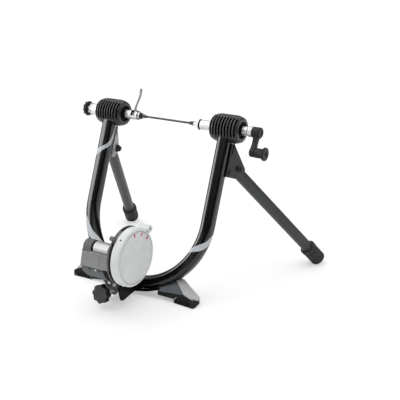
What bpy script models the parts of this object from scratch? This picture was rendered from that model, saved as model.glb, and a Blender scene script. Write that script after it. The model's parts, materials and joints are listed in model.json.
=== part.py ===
"""Folding magnetic bike trainer: a U frame that leans back, two folding legs,
a clamp for the rear axle and a roller unit that is pressed against the tyre.

Metres, +Z up, +Y towards the front of the bike, +X towards its chain side.
The arms and the clamps are measured from the arms' tops, where the housings are,
and the feet and the roller unit from the rail, the lowest part of the bend.
"""

from math import acos, atan2, cos, hypot, pi, radians, sin, tan

import bmesh
import bpy
from mathutils import Matrix, Vector

# Fits
gap = 0.0003            # between pieces that touch, and at every seat
play = 0.0006           # beside a cheek that turns against another
round_sides = 20        # sides of a large turned piece
small_sides = 12        # sides of a pin, bolt or nut
margin = 0.010          # how far a cutter runs past what it cuts

# Frame
arm_top_height = 0.395  # of the arms' middle line at the housings
arm_top_forward = 0.02984   # from the middle of the footprint
rail_height = 0.02216   # of the tube's middle line at the bottom of the bend
arm_setback = 0.0075    # of the arms behind the axle line, square to them
axle_rise = 0.0012      # of the axle line over the arms' tops, along them
arm_spacing = 0.339     # between the middles of the two arms
frame_lean = radians(20.5)
tube_width = 0.032
tube_depth = 0.032
tube_corner = 0.010
tube_wall = 0.0018
bend_steps = 22

# Housings at the top of the arms
housing_length = 0.0745
housing_radius = 0.0334
housing_end_radius = 0.0298
housing_edge = 0.0035
housing_shoulder = 0.010   # from each end to where the barrel is nearly full
recess_radius = 0.0195
recess_depth = 0.004
groove_count = 9
groove_pitch = 0.0078
groove_width = 0.0040
groove_depth = 0.0062
groove_bottom = -40        # degrees from level, on both faces of the barrel
groove_top = 44
groove_facet = 21

# Axle clamps
shaft_radius = 0.008
sleeve_radius = 0.015
cup_radius = 0.012
cup_rim_radius = 0.0130
cup_rim_length = 0.0045
cup_bore_length = 0.030    # how far a cup can be drawn into its sleeve
cup_socket_depth = 0.0215
cup_floor = 0.0020         # between a cup's socket and the bore for its screw
cup_hold = 0.0048          # how far a screw stands in its cup as shown
cup_mouth = 0.0898         # from the middle plane
cup_root = 0.1425          # where both cups end inside their sleeves
left_sleeve_end = 0.2362
right_sleeve_end = 0.2245
right_neck_radius = 0.0108
hex_length = 0.0095
hex_radius = 0.0138
dial_length = 0.0095
dial_radius = 0.0188
dial_lobe = 0.0022
dial_lobes = 8
collar_radius = 0.0128
collar_length = 0.0100

# Crank
crank_hub_radius = 0.0128
crank_hub_length = 0.0205
crank_reach = 0.0468
crank_swing = radians(26.3)
crank_arm_start = 0.0055
crank_arm_thickness = 0.0115
crank_arm_width = 0.0125
crank_boss_radius = 0.0108
grip_radius = 0.0115
grip_flare_radius = 0.0155
grip_length = 0.0265
grip_flare_length = 0.0065
grip_pin_radius = 0.0028
grip_pin_head = 0.0050
grip_pin_head_length = 0.0030

# Quick-release skewer
rod_radius = 0.0025
cam_radius = 0.0087
cam_length = 0.0210
cam_pin_from_mouth = 0.0095
cam_slot_width = 0.0048
notch_width = 0.0090
notch_length = 0.0220
cam_slot_inner = 0.0055    # to each side of the lever's pin
cam_slot_outer = 0.0095
washer_length = 0.0100
washer_radius = 0.0085
washer_tip_radius = 0.0055
nut_small_radius = 0.0042
nut_radius = 0.0086
nut_cone_length = 0.0130
nut_length = 0.0255
nut_wall = 0.0045
spring_wire = 0.00055
spring_length = 0.0135
spring_large_radius = 0.0052
spring_small_radius = 0.0034
spring_turns = 5
spring_points = 9
lever_width = 0.0042
lever_root_radius = 0.0046
lever_length = 0.0685      # from its pin to its tip
lever_offset = 0.0192      # of its tip, towards the middle
lever_waist = 0.60         # breadths, as shares of the root's
lever_pad = 0.78
lever_lean = 0.30          # share of its breadth that lies towards the middle
lever_steps = 8

# Folding legs
leg_pivot_down = 0.0867    # from the arm's top, along it
leg_pivot_out = 0.0440     # in front of the middle of the arm
leg_plane_turn = radians(20.2)
cap_end_height = 0.01006   # of the middle of a cap's end, before the floor cuts it
leg_length = 0.4015        # from the pivot to the tip of the rubber cap, before the floor cuts it
leg_radius = 0.0143
leg_wall = 0.0016
leg_top = 0.0160           # how far the tube runs past its pivot
cheek_thickness = 0.0030
cheek_foot = -0.0245       # below the pivot
cheek_heel_out = 0.0390    # all from the middle of the arm
cheek_corner_out = 0.0657
cheek_corner_radius = 0.0070
cheek_apex_out = 0.0176
cheek_apex = 0.0545        # above the pivot
web_start = 0.0105
web_end = 0.0212
pivot_bolt_radius = 0.004
pivot_head_radius = 0.0068
pivot_head_length = 0.0045
pivot_knob_radius = 0.0090
pivot_knob_tip = 0.0055
pivot_knob_length = 0.0095
cap_radius = 0.0205
cap_collar_radius = 0.0213
cap_length = 0.0570
cap_rounding = 0.0045
cap_collar_length = 0.011
cap_base = 0.0130          # rubber past the tube's end

# Feet under the bend
foot_inner = 0.078         # from the middle plane to the foot's near end
foot_step = 0.1235         # where the rubber pad starts
foot_outer = 0.1745
foot_front = 0.0176         # behind the rail
foot_back = -0.0294        # in front of it
foot_clear = 0.010         # under the foot's inner end
foot_lip = 0.0195
foot_ridge = 0.109         # where the ramp meets the tube
foot_ridge_back = -0.0124
ramp_slope = radians(25.3)
ramp_cant = 0.055
ramp_height = 0.0275       # of the ramp at ramp_reach and the foot's front
ramp_reach = 0.151
plate_thickness = 0.0028
pad_height = 0.0160
pad_overhang = 0.003
pad_corner = 0.008         # slant of its inner end
pad_rib_count = 6
pad_rib_width = 0.0050
pad_rib_depth = 0.0030
pad_rib_height = 0.0115

# Roller, its cradle and its bearings
roller_back = 0.1250       # behind the rail
roller_height = 0.1461
roller_radius = 0.0165
roller_left = -0.0120      # ends of the roller, from the middle plane
roller_right = 0.0310
roller_shaft_radius = 0.004
bearing_radius = 0.0110
bearing_width = 0.0070
cradle_left = -0.0395
cradle_right = 0.0425
cradle_left_inner = -0.0170
cradle_right_inner = 0.0335
cradle_arch = 0.0172
cradle_panel = 0.0030
cradle_panel_drop = 0.0030 # below the roller axis
cradle_lean = 0.0115       # how far the panel's foot stands out past the arch
cradle_rear = 0.0180
cradle_floor = 0.0055
cradle_bolt_radius = 0.003
cradle_bolt_head = 0.0055
cradle_bolt_head_length = 0.004
cradle_bolt_spacing = 0.050

# Back housing, rotor and dial
neck_radius = 0.0210
neck_flare = 0.0340
back_plate_start = 0.0680
back_plate = 0.0040
back_radius = 0.0673
back_bore = 0.0085
rim_wall = 0.0040
rim_sectors = ((88, 136), (196, 246), (300, 338))
skirt_start = 0.0540
lug_angle = 131
lug_radius = 0.0052
lug_reach = 0.0720
rotor_radius = 0.0605
rotor_thickness = 0.0040
rotor_gap = 0.0014
cover_gap = 0.0060         # between the back plate and the cover
cover_radius = 0.0665
cover_depth = 0.0205
cover_wall = 0.0030
cover_rounding = 0.0055
cover_groove_radius = 0.0585
cover_groove = 0.0012
cover_post_radius = 0.0090
magnet_plate_radius = 0.0590
magnet_plate_thickness = 0.0040
magnet_count = 8
magnet_radius = 0.0085
magnet_ring = 0.0450
magnet_height = 0.0030
dial_screw_radius = 0.0035
dial_screw_head = 0.0060
tab_angle = 45
tab_reach = 0.0735
tab_radius = 0.0082
tab_length = 0.0270
tab_back = 0.0055          # how far the tab reaches back past the cover's rim
tab_hole_radius = 0.0024

# Bracket that tilts, fork that carries it and the tension screw
swing_pivot_back = 0.0686   # all from the rail
swing_pivot_height = 0.062
swing_pin_radius = 0.004
swing_pin_head = 0.0070
swing_pin_head_length = 0.004
swing_cheek = 0.0165       # half of the space between its cheeks
swing_sheet = 0.0030
swing_boss = 0.0110
swing_flange = 0.0190
swing_half_width = 0.0375
flange_cut = 0.0160
tray_height = 0.105
tray_front = 0.1506
tray_back = 0.0926
tail_back = 0.0886
tail_drop = 0.0300          # of the cheeks, below the pivot
tail_half = 0.0105
tail_tip = 0.0065           # half of the width of the tail's lower end
near_edge_rear = 0.0950     # of the left cheek, behind the pivot
near_edge_rear_rise = 0.0260
near_edge_bend = 0.0630
near_edge_bend_rise = 0.0085
near_edge_front = 0.0245
near_edge_front_drop = 0.0085
tension_slope = radians(9.4)
tension_back = 0.1371       # behind the rail, at the knob's face
tension_height = 0.0378
tension_tip_back = 0.0506
tension_bolt_radius = 0.004
tension_knob_radius = 0.0228
tension_knob_lobe = 0.0030
tension_knob_lobes = 8
tension_knob_length = 0.0155
tension_nut_radius = 0.0075
tension_nut_length = 0.0060
tension_neck_radius = 0.0028
tension_foot_radius = 0.0065
tension_foot_length = 0.0065
tension_foot_wall = 0.0022
tension_foot_dome = 0.0028  # length over which the foot's end is rounded
upper_bolt_back = 0.1266
upper_bolt_height = 0.0715
lower_bolt_back = 0.1101
lower_bolt_height = 0.0585
cross_bolt_radius = 0.0025
cross_bolt_head = 0.0062
cross_bolt_head_length = 0.0045
base_sheet = 0.0030
base_boss = 0.0115
base_reach = 0.0256
base_grip = 0.025
base_top = 0.0440
base_web = 0.0030
base_back = 0.0936
base_toe_back = 0.0796
base_toe_radius = 0.0095
base_clear = 0.0050
base_edge = 0.0125         # lower edge where the fork meets the bend
base_foot = 0.0080
base_corner_height = 0.0290
base_slant = 0.0060
saddle_rear = 0.0195       # the strap under the bend, behind its middle plane
saddle_front = 0.0060
saddle_thickness = 0.0070
saddle_sweep = 23          # degrees to each side
pad_web_half = 0.0115

# Finishes: colour, roughness, metallic
finishes = {
    "gloss_black": ((0.012, 0.012, 0.013), 0.22, 0.0),
    "satin_grey": ((0.045, 0.047, 0.050), 0.42, 0.2),
    "black_plastic": ((0.020, 0.020, 0.021), 0.50, 0.0),
    "rubber": ((0.018, 0.018, 0.019), 0.80, 0.0),
    "bright_steel": ((0.78, 0.78, 0.79), 0.22, 1.0),
    "zinc": ((0.62, 0.62, 0.61), 0.35, 1.0),
    "slate_plastic": ((0.070, 0.083, 0.095), 0.45, 0.0),
    "slate_paint": ((0.070, 0.083, 0.095), 0.40, 0.0),
    "light_grey": ((0.50, 0.51, 0.52), 0.45, 0.0),
    "warm_grey": ((0.215, 0.212, 0.205), 0.50, 0.0),
    "dark_grey": ((0.085, 0.087, 0.088), 0.50, 0.0),
    "cover_grey": ((0.62, 0.635, 0.635), 0.40, 0.0),
    "magnet": ((0.30, 0.30, 0.31), 0.35, 0.9),
}


def clear_objects():
    for item in list(bpy.data.objects):
        bpy.data.objects.remove(item)


def make_finish(name):
    colour, roughness, metallic = finishes[name]
    finish = bpy.data.materials.new(name)
    finish.use_nodes = True
    shader = finish.node_tree.nodes["Principled BSDF"]
    shader.inputs["Base Color"].default_value = (*colour, 1.0)
    shader.inputs["Roughness"].default_value = roughness
    shader.inputs["Metallic"].default_value = metallic
    return finish


def make_empty(name, parent=None, location=(0, 0, 0), rotation=(0, 0, 0)):
    empty = bpy.data.objects.new(name, None)
    empty.parent = parent
    empty.location = location
    empty.rotation_euler = rotation
    empty.empty_display_size = 0.02
    bpy.context.collection.objects.link(empty)
    return empty


def make_piece(name, shape, finish, parent, location=(0, 0, 0), rotation=(0, 0, 0)):
    """Turn a bmesh into a named object of its own."""
    bmesh.ops.recalc_face_normals(shape, faces=shape.faces)
    mesh = bpy.data.meshes.new(name)
    shape.to_mesh(mesh)
    shape.free()
    if finish:
        mesh.materials.append(bpy.data.materials.get(finish) or make_finish(finish))
    mesh.shade_smooth()
    mesh.set_sharp_from_angle(angle=radians(32))
    piece = bpy.data.objects.new(name, mesh)
    piece.parent = parent
    piece.location = location
    piece.rotation_euler = rotation
    bpy.context.collection.objects.link(piece)
    return piece


def combine(piece, name, shape, operation, parent=None, location=(0, 0, 0), rotation=(0, 0, 0)):
    """Cut a hidden shape out of a piece, or weld it on."""
    tool = make_piece(name, shape, None, parent or piece.parent, location, rotation)
    tool.hide_render = True
    tool.display_type = "WIRE"
    step = piece.modifiers.new(name, "BOOLEAN")
    step.operation = operation
    step.object = tool
    step.solver = "EXACT"
    return tool


def cut(piece, name, shape, parent=None, location=(0, 0, 0), rotation=(0, 0, 0)):
    return combine(piece, name, shape, "DIFFERENCE", parent, location, rotation)


def weld(piece, name, shape, parent=None, location=(0, 0, 0), rotation=(0, 0, 0)):
    return combine(piece, name, shape, "UNION", parent, location, rotation)


def turned(profile, sides, closed=False):
    """A solid of revolution about X. The profile is a list of (along, radius)."""
    shape = bmesh.new()
    points = [shape.verts.new((along, 0, radius)) for along, radius in profile]
    pairs = list(zip(points, points[1:]))
    if closed:
        pairs.append((points[-1], points[0]))
    edges = [shape.edges.new(pair) for pair in pairs]
    bmesh.ops.spin(shape, geom=points + edges, cent=(0, 0, 0), axis=(1, 0, 0),
                   dvec=(0, 0, 0), angle=2 * pi, steps=sides, use_merge=True)
    bmesh.ops.remove_doubles(shape, verts=shape.verts, dist=0.000001)
    return shape


def rod(start, end, radius, sides=small_sides):
    return turned([(start, 0), (start, radius), (end, radius), (end, 0)], sides)


def ring(start, end, inner, outer, sides=round_sides):
    return turned([(start, inner), (start, outer), (end, outer), (end, inner)], sides, closed=True)


def make_nut(name, start, end, bore, radius, parent):
    """A hexagon with a round hole, along X."""
    nut = make_piece(name, rod(start, end, radius, 6), "zinc", parent)
    cut(nut, "cut_" + name, rod(start - 0.001, end + 0.001, bore, 16))


def stood_up(shape):
    """Turn a shape made along X so that it runs along -Z."""
    bmesh.ops.rotate(shape, cent=(0, 0, 0), matrix=Matrix.Rotation(pi / 2, 3, "Y"), verts=shape.verts)
    return shape


def prism(outline, low, high):
    """A flat outline of (y, z) points, drawn out along X."""
    shape = bmesh.new()
    face = shape.faces.new([shape.verts.new((low, y, z)) for y, z in outline])
    grown = bmesh.ops.extrude_face_region(shape, geom=[face])
    moved = [item for item in grown["geom"] if isinstance(item, bmesh.types.BMVert)]
    bmesh.ops.translate(shape, verts=moved, vec=(high - low, 0, 0))
    return shape


def block(low, high):
    size = Vector(high) - Vector(low)
    shape = bmesh.new()
    bmesh.ops.create_cube(shape, size=1)
    bmesh.ops.scale(shape, vec=size, verts=shape.verts)
    bmesh.ops.translate(shape, vec=Vector(low) + size / 2, verts=shape.verts)
    return shape


def add_block(shape, low, high):
    """Add one more separate block to a cutter."""
    size = Vector(high) - Vector(low)
    made = bmesh.ops.create_cube(shape, size=1)["verts"]
    bmesh.ops.scale(shape, vec=size, verts=made)
    bmesh.ops.translate(shape, vec=Vector(low) + size / 2, verts=made)


def add_sector(shape, start, end, low, high, inner, outer, facet=12):
    """Add a piece of a ring between two angles, drawn along X."""
    steps = max(2, round((end - start) / facet))
    outline = arc(0, 0, outer, start, end, steps) + arc(0, 0, inner, end, start, steps)
    face = shape.faces.new([shape.verts.new((low, y, z)) for y, z in outline])
    grown = bmesh.ops.extrude_face_region(shape, geom=[face])
    moved = [item for item in grown["geom"] if isinstance(item, bmesh.types.BMVert)]
    bmesh.ops.translate(shape, verts=moved, vec=(high - low, 0, 0))
    return shape


def hull(points):
    shape = bmesh.new()
    for point in points:
        shape.verts.new(point)
    bmesh.ops.convex_hull(shape, input=shape.verts)
    flat = [edge for edge in shape.edges if edge.is_manifold and edge.calc_face_angle() < 0.001]
    bmesh.ops.dissolve_edges(shape, edges=flat)
    return shape


def arc(y, z, radius, start, end, steps):
    """Points on an arc. Angles in degrees, from +Y towards +Z."""
    turns = [radians(start + (end - start) * step / steps) for step in range(steps + 1)]
    return [(y + radius * cos(turn), z + radius * sin(turn)) for turn in turns]


def lobed(radius, depth, lobes, steps):
    """Outline of a hand knob with rounded lobes."""
    count = lobes * steps
    points = []
    for step in range(count):
        turn = 2 * pi * step / count
        reach = radius - depth * (0.5 - 0.5 * cos(lobes * turn))
        points.append((reach * cos(turn), reach * sin(turn)))
    return points


def rounded_rectangle(width, depth, corner, steps):
    """Corner points of a tube section, as (across, deep)."""
    points = []
    for number, (side, front) in enumerate([(1, 1), (-1, 1), (-1, -1), (1, -1)]):
        y = side * (width / 2 - corner)
        z = front * (depth / 2 - corner)
        points += arc(y, z, corner, 90 * number, 90 * number + 90, steps)
    return points


def arm_straight():
    """From an arm's top down to where it bends."""
    return (arm_top_height - rail_height) / cos(frame_lean) - arm_spacing / 2


def rail_back():
    """How far the rail lies behind the arms' tops."""
    return (arm_top_height - rail_height) * tan(frame_lean)


def bent_tube(grow, top, steps, corner_steps):
    """The outer skin of the frame tube, larger by grow, open at its ends."""
    half = arm_spacing / 2
    straight = arm_straight()
    shape = bmesh.new()
    section = rounded_rectangle(tube_width + 2 * grow, tube_depth + 2 * grow,
                                tube_corner + grow, corner_steps)
    points = [shape.verts.new((half + across, deep, -top)) for across, deep in section]
    loop = [shape.edges.new(pair) for pair in zip(points, points[1:] + points[:1])]

    def draw(edges, drop):
        grown = bmesh.ops.extrude_edge_only(shape, edges=edges)["geom"]
        moved = [item for item in grown if isinstance(item, bmesh.types.BMVert)]
        bmesh.ops.translate(shape, verts=moved, vec=(0, 0, drop))
        return [item for item in grown if isinstance(item, bmesh.types.BMEdge)
                and all(vert in moved for vert in item.verts)]

    low = draw(loop, top - straight)
    corners = list({vert for edge in low for vert in edge.verts})
    turned_geom = bmesh.ops.spin(shape, geom=corners + low, cent=(0, 0, -straight),
                                 axis=(0, 1, 0), dvec=(0, 0, 0), angle=pi, steps=steps)
    far = [item for item in turned_geom["geom_last"] if isinstance(item, bmesh.types.BMEdge)]
    draw(far, straight - top)
    bmesh.ops.recalc_face_normals(shape, faces=shape.faces)
    return shape


def tube_envelope(grow, top):
    """A closed copy of the frame tube, to cut what sits against it."""
    shape = bent_tube(grow, top, bend_steps, 2)
    bmesh.ops.holes_fill(shape, edges=[edge for edge in shape.edges if edge.is_boundary], sides=0)
    return shape


def build_frame_tube(frame):
    top = sleeve_radius + 2 * gap
    tube = make_piece("u_frame_tube", bent_tube(0, top, bend_steps, 2), "gloss_black", frame)
    wall = tube.modifiers.new("wall", "SOLIDIFY")
    wall.thickness = tube_wall
    wall.offset = -1
    wall.use_even_offset = True
    wall.use_rim = True


def build_housing(frame, side, name):
    """The ribbed block on top of an arm, bored for the sleeve and the arm."""
    half = housing_length / 2
    profile = [
        (-half, 0),
        (-half, housing_end_radius - housing_edge),
        (-half + housing_edge, housing_end_radius),
        (-half + housing_shoulder, housing_radius - 0.0012),
        (-half + 2.2 * housing_shoulder, housing_radius),
    ]
    profile += [(-along, radius) for along, radius in reversed(profile)]
    home = (side * arm_spacing / 2, arm_setback, axle_rise)
    housing = make_piece(name + "_housing", turned(profile, 24), "black_plastic", frame, home)

    first = -groove_pitch * (groove_count - 1) / 2
    for face, begin, end in (("front", groove_bottom, groove_top),
                             ("back", 180 - groove_top, 180 - groove_bottom)):
        slots = bmesh.new()
        for number in range(groove_count):
            middle = first + number * groove_pitch
            add_sector(slots, begin, end, middle - groove_width / 2, middle + groove_width / 2,
                       housing_radius - groove_depth, housing_radius + 0.004, groove_facet)
        cut(housing, "cut_grooves_" + face + "_" + name, slots, location=home)
    bore = ring_bore(half)
    cut(housing, "cut_bore_" + name, bore, location=home)
    socket = rounded_rectangle(tube_depth + 2 * gap, tube_width + 2 * gap, tube_corner + gap, 2)
    shape = stood_up(prism(socket, 0.6 * sleeve_radius, housing_radius + 0.01))
    cut(housing, "cut_socket_" + name, shape, location=(home[0], 0, 0))


def ring_bore(half):
    """The stepped hole along a housing: sleeve bore and two end recesses."""
    reach = half + 0.002
    bore = sleeve_radius + gap
    return turned([
        (-reach, 0), (-reach, recess_radius), (-half + recess_depth, recess_radius),
        (-half + recess_depth, bore), (half - recess_depth, bore),
        (half - recess_depth, recess_radius), (reach, recess_radius), (reach, 0),
    ], round_sides)


def build_sleeve(axle, side, name):
    """The steel sleeve through a housing: wide bore for the cup, narrow for the shaft."""
    inner = arm_spacing / 2 - housing_length / 2 + recess_depth + 0.001
    step = inner + cup_bore_length
    cup_bore = cup_radius + gap
    shaft_bore = shaft_radius + gap
    if side < 0:
        outside = [(left_sleeve_end, sleeve_radius), (inner, sleeve_radius)]
        end = left_sleeve_end
    else:
        shoulder = arm_spacing / 2 + housing_length / 2 - recess_depth
        outside = [(right_sleeve_end, right_neck_radius), (shoulder, right_neck_radius),
                   (shoulder, sleeve_radius), (inner, sleeve_radius)]
        end = right_sleeve_end
    profile = [(inner, cup_bore), (step, cup_bore), (step, shaft_bore), (end, shaft_bore)]
    profile += outside
    profile = [(side * along, radius) for along, radius in profile]
    make_piece(name + "_axle_sleeve", turned(profile, round_sides, closed=True), "bright_steel", axle)


def build_cup(axle, side, name, mouth, socket_radius):
    """The steel cup that holds one end of the skewer, bored behind for its screw."""
    bottom = mouth + cup_socket_depth
    profile = [
        (bottom + cup_floor, 0), (bottom + cup_floor, shaft_radius + gap), (cup_root, shaft_radius + gap),
        (cup_root, cup_radius), (mouth + cup_rim_length, cup_radius),
        (mouth + cup_rim_length, cup_rim_radius), (mouth, cup_rim_radius),
        (mouth, socket_radius + 0.0012), (mouth + 0.002, socket_radius),
        (bottom, socket_radius), (bottom, 0),
    ]
    profile = [(side * along, radius) for along, radius in profile]
    return make_piece(name + "_cup", turned(profile, round_sides), "bright_steel", axle)


def build_left_clamp(axle):
    build_sleeve(axle, -1, "left")
    cup = build_cup(axle, -1, "left", cup_mouth, cam_radius + gap)
    notch = block((-cup_mouth - notch_length, -notch_width / 2, 0.002),
                  (-cup_mouth + 0.003, notch_width / 2, cup_rim_radius + 0.004))
    cut(cup, "cut_notch", notch)
    dial_face = left_sleeve_end + gap + hex_length + gap
    make_piece("left_clamp_shaft", rod(cup_hold - cup_root, gap - dial_face, shaft_radius, 16),
               "bright_steel", axle)
    make_nut("left_clamp_hexagon", -dial_face + gap, -left_sleeve_end - gap, shaft_radius + gap,
             hex_radius, axle)
    dial = make_empty("left_dial_axis", axle)
    knob = prism(lobed(dial_radius, dial_lobe, dial_lobes, 4), -dial_face - dial_length, -dial_face)
    make_piece("left_dial_knob", knob, "black_plastic", dial)


def build_skewer(axle):
    """Rod, cam, lever, washer, springs and nut, held between the two cups."""
    mouth = cup_mouth
    cam_inner = mouth - 0.0015
    make_piece("skewer_rod", rod(-cam_inner + gap, nut_seat() - gap, rod_radius, 10), "zinc", axle)
    cam = make_piece("skewer_cam", rod(-cam_inner - cam_length, -cam_inner, cam_radius, 16),
                     "bright_steel", axle)
    pin = mouth + cam_pin_from_mouth
    slot = block((-pin - cam_slot_outer, -cam_slot_width / 2, -cam_slot_inner),
                 (-pin + cam_slot_inner, cam_slot_width / 2, 0.02))
    cut(cam, "cut_lever_slot", slot)

    washer_start = -cam_inner + gap
    washer_end = washer_start + washer_length
    washer = turned([(washer_start, rod_radius + gap), (washer_start, washer_radius),
                     (washer_start + 0.4 * washer_length, washer_radius),
                     (washer_end, washer_tip_radius), (washer_end, rod_radius + gap)],
                    16, closed=True)
    make_piece("skewer_washer", washer, "black_plastic", axle)
    build_spring(axle, "skewer_spring_left", washer_end + gap, 1)

    base = nut_face()
    bore = rod_radius + gap
    nut = turned([(nut_seat(), 0), (nut_seat(), bore), (base, bore), (base, nut_small_radius),
                  (base + nut_cone_length, nut_radius), (base + nut_length, nut_radius),
                  (base + nut_length, 0)], 16)
    make_piece("skewer_nut", nut, "bright_steel", axle)
    build_spring(axle, "skewer_spring_right", base - gap, -1)

    hinge = make_empty("skewer_lever_axis", axle, (-pin, 0, 0))
    build_lever(hinge)


def nut_face():
    """Where the nut's small end stands, right of the middle plane."""
    return cup_mouth - nut_cone_length - 0.0025


def nut_seat():
    return nut_face() + nut_length - nut_wall


def spring_curve(start, direction, turns, points_per_turn):
    """Centre line of a conical spring, with its first and last turns laid flat."""
    count = turns * points_per_turn
    line = []
    for step in range(count + 1):
        share = step / count
        turn = 2 * pi * step / points_per_turn
        radius = spring_large_radius + (spring_small_radius - spring_large_radius) * share
        along = start + direction * (spring_wire + (spring_length - 2 * spring_wire) * share)
        line.append(Vector((along, radius * cos(turn), radius * sin(turn))))
    return line


def build_spring(axle, name, start, direction):
    """A conical coil spring of one unbroken wire."""
    line = spring_curve(start, direction, spring_turns, spring_points)
    report_spring_gap(name, line)
    curve = bpy.data.curves.new(name, "CURVE")
    curve.dimensions = "3D"
    curve.bevel_depth = spring_wire
    curve.bevel_resolution = 1
    curve.use_fill_caps = True
    wire = curve.splines.new("POLY")
    wire.points.add(len(line) - 1)
    for point, place in zip(wire.points, line):
        point.co = (*place, 1)
    curve.materials.append(bpy.data.materials.get("zinc") or make_finish("zinc"))
    spring = bpy.data.objects.new(name, curve)
    spring.parent = axle
    bpy.context.collection.objects.link(spring)


def report_spring_gap(name, line):
    """Print the least gap between one turn of a spring and the next."""
    least = min((line[first] - line[second]).length
                for first in range(len(line))
                for second in range(first + spring_points - 2, len(line)))
    print(name, "least gap between turns, mm:", round(1000 * (least - 2 * spring_wire), 2))


def ease(share):
    """A smooth step from 0 to 1."""
    return 0.5 - 0.5 * cos(pi * min(1, max(0, share)))


def lever_edge(side):
    """One edge of the lever from its root to its tip, as (across, up)."""
    edge = []
    for step in range(1, lever_steps + 1):
        share = step / lever_steps
        breadth = lever_waist + (1 - lever_waist) * max(0, 1 - share / 0.45) ** 2
        if step < lever_steps:
            breadth += (lever_pad - lever_waist) * ease((share - 0.45) / 0.5)
        middle = lever_offset * ease((share - 0.1) / 0.85)
        edge.append((middle + side * lever_root_radius * breadth, lever_length * share))
    return edge


def build_lever(hinge):
    """The curved quick-release lever, with a round root on its pin."""
    root = [(lever_root_radius * cos(turn), lever_root_radius * sin(turn))
            for turn in [radians(180 + 30 * step) for step in range(7)]]
    outline = root + lever_edge(lever_lean) + lever_edge(-1)[::-1]
    shape = bmesh.new()
    half = (lever_width - play) / 2
    face = shape.faces.new([shape.verts.new((x, -half, z)) for x, z in outline])
    grown = bmesh.ops.extrude_face_region(shape, geom=[face])["geom"]
    moved = [item for item in grown if isinstance(item, bmesh.types.BMVert)]
    bmesh.ops.translate(shape, verts=moved, vec=(0, 2 * half, 0))
    make_piece("skewer_lever", shape, "bright_steel", hinge)


def build_right_clamp(axle):
    build_sleeve(axle, 1, "right")
    build_cup(axle, 1, "right", cup_mouth, nut_radius + 2 * gap)
    hub = right_sleeve_end + gap + collar_length + gap
    crank = make_empty("crank_axis", axle, (hub, 0, 0), (-crank_swing, 0, 0))
    start = cup_root - cup_hold - hub
    make_piece("right_clamp_shaft", rod(start, -gap, shaft_radius, 16), "bright_steel", crank)
    collar = ring(-gap - collar_length, -gap, shaft_radius + gap, collar_radius)
    make_piece("crank_collar", collar, "bright_steel", crank)

    arm_end = crank_arm_start + crank_arm_thickness
    arm = make_piece("crank_arm", rod(0, crank_hub_length, crank_hub_radius, round_sides),
                     "black_plastic", crank)
    half = crank_arm_width / 2
    strip = [(-half, 0), (-half, -crank_reach), (half, -crank_reach), (half, 0)]
    weld(arm, "weld_crank_strip", prism(strip, crank_arm_start, arm_end))
    boss = rod(crank_arm_start - 0.001, arm_end + 0.001, crank_boss_radius, 16)
    weld(arm, "weld_crank_boss", boss, location=(0, 0, -crank_reach))

    grip_axis = make_empty("crank_grip_axis", crank, (arm_end + 0.001 + gap, 0, -crank_reach))
    bore = grip_pin_radius + gap
    head_bore = grip_pin_head + gap
    flare = grip_length - grip_flare_length
    head_seat = grip_length - grip_pin_head_length - 0.0005
    grip = turned([(0, bore), (0, grip_radius), (flare, grip_radius), (flare + 0.001, grip_flare_radius),
                   (grip_length - 0.001, grip_flare_radius), (grip_length, grip_flare_radius - 0.0015),
                   (grip_length, head_bore), (head_seat - gap, head_bore), (head_seat - gap, bore)],
                  round_sides, closed=True)
    make_piece("crank_grip", grip, "black_plastic", grip_axis)
    pin = turned([(0, 0), (0, grip_pin_radius), (head_seat, grip_pin_radius),
                  (head_seat, grip_pin_head), (head_seat + grip_pin_head_length, grip_pin_head),
                  (head_seat + grip_pin_head_length, 0)], small_sides)
    make_piece("crank_grip_pin", pin, "zinc", grip_axis)


def leg_swing():
    """Angle between the arm and the open leg, whose cap stands on the floor."""
    pivot_height = (arm_top_height - leg_pivot_down * cos(frame_lean)
                    - leg_pivot_out * cos(leg_plane_turn) * sin(frame_lean))
    along = cos(frame_lean)
    across = cos(leg_plane_turn) * sin(frame_lean)
    return atan2(across, along) + acos((pivot_height - cap_end_height) / leg_length / hypot(along, across))


def build_leg(base, frame, side, name):
    """A leg bracket on the arm, and the leg that folds in it."""
    plane = make_empty(name + "_leg_plane", frame,
                       (side * arm_spacing / 2, 0, -leg_pivot_down), (0, 0, -side * leg_plane_turn))
    inside = leg_radius + play
    outside = inside + cheek_thickness
    outline = [(web_start, cheek_foot), (cheek_heel_out, cheek_foot)]
    outline += arc(cheek_corner_out - cheek_corner_radius, 0, cheek_corner_radius, -40, 30, 3)
    outline += [(cheek_apex_out, cheek_apex), (web_start, cheek_apex - 0.003)]
    bracket = make_piece(name + "_leg_bracket", prism(outline, -outside, outside), "satin_grey", plane)
    room = block((-inside, web_end, cheek_foot - margin),
                 (inside, cheek_corner_out + margin, cheek_apex + margin))
    cut(bracket, "cut_channel_" + name, room)
    cut(bracket, "cut_arm_" + name, tube_envelope(gap, 0), parent=frame)
    hole = rod(-outside - 0.002, outside + 0.002, pivot_bolt_radius + gap)
    cut(bracket, "cut_pivot_" + name, hole, location=(0, leg_pivot_out, 0))

    pivot = make_empty(name + "_leg_axis", plane, (0, leg_pivot_out, 0), (leg_swing(), 0, 0))
    build_pivot_bolt(pivot, side, name, outside + gap)
    tube_end = leg_length - cap_base
    tube = ring(-leg_top, tube_end, leg_radius - leg_wall, leg_radius, 18)
    leg = make_piece(name + "_leg_tube", stood_up(tube), "satin_grey", pivot)
    through = rod(-leg_radius - 0.003, leg_radius + 0.003, pivot_bolt_radius + gap)
    cut(leg, "cut_leg_hole_" + name, through)
    build_cap(base, pivot, name, tube_end)


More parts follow.
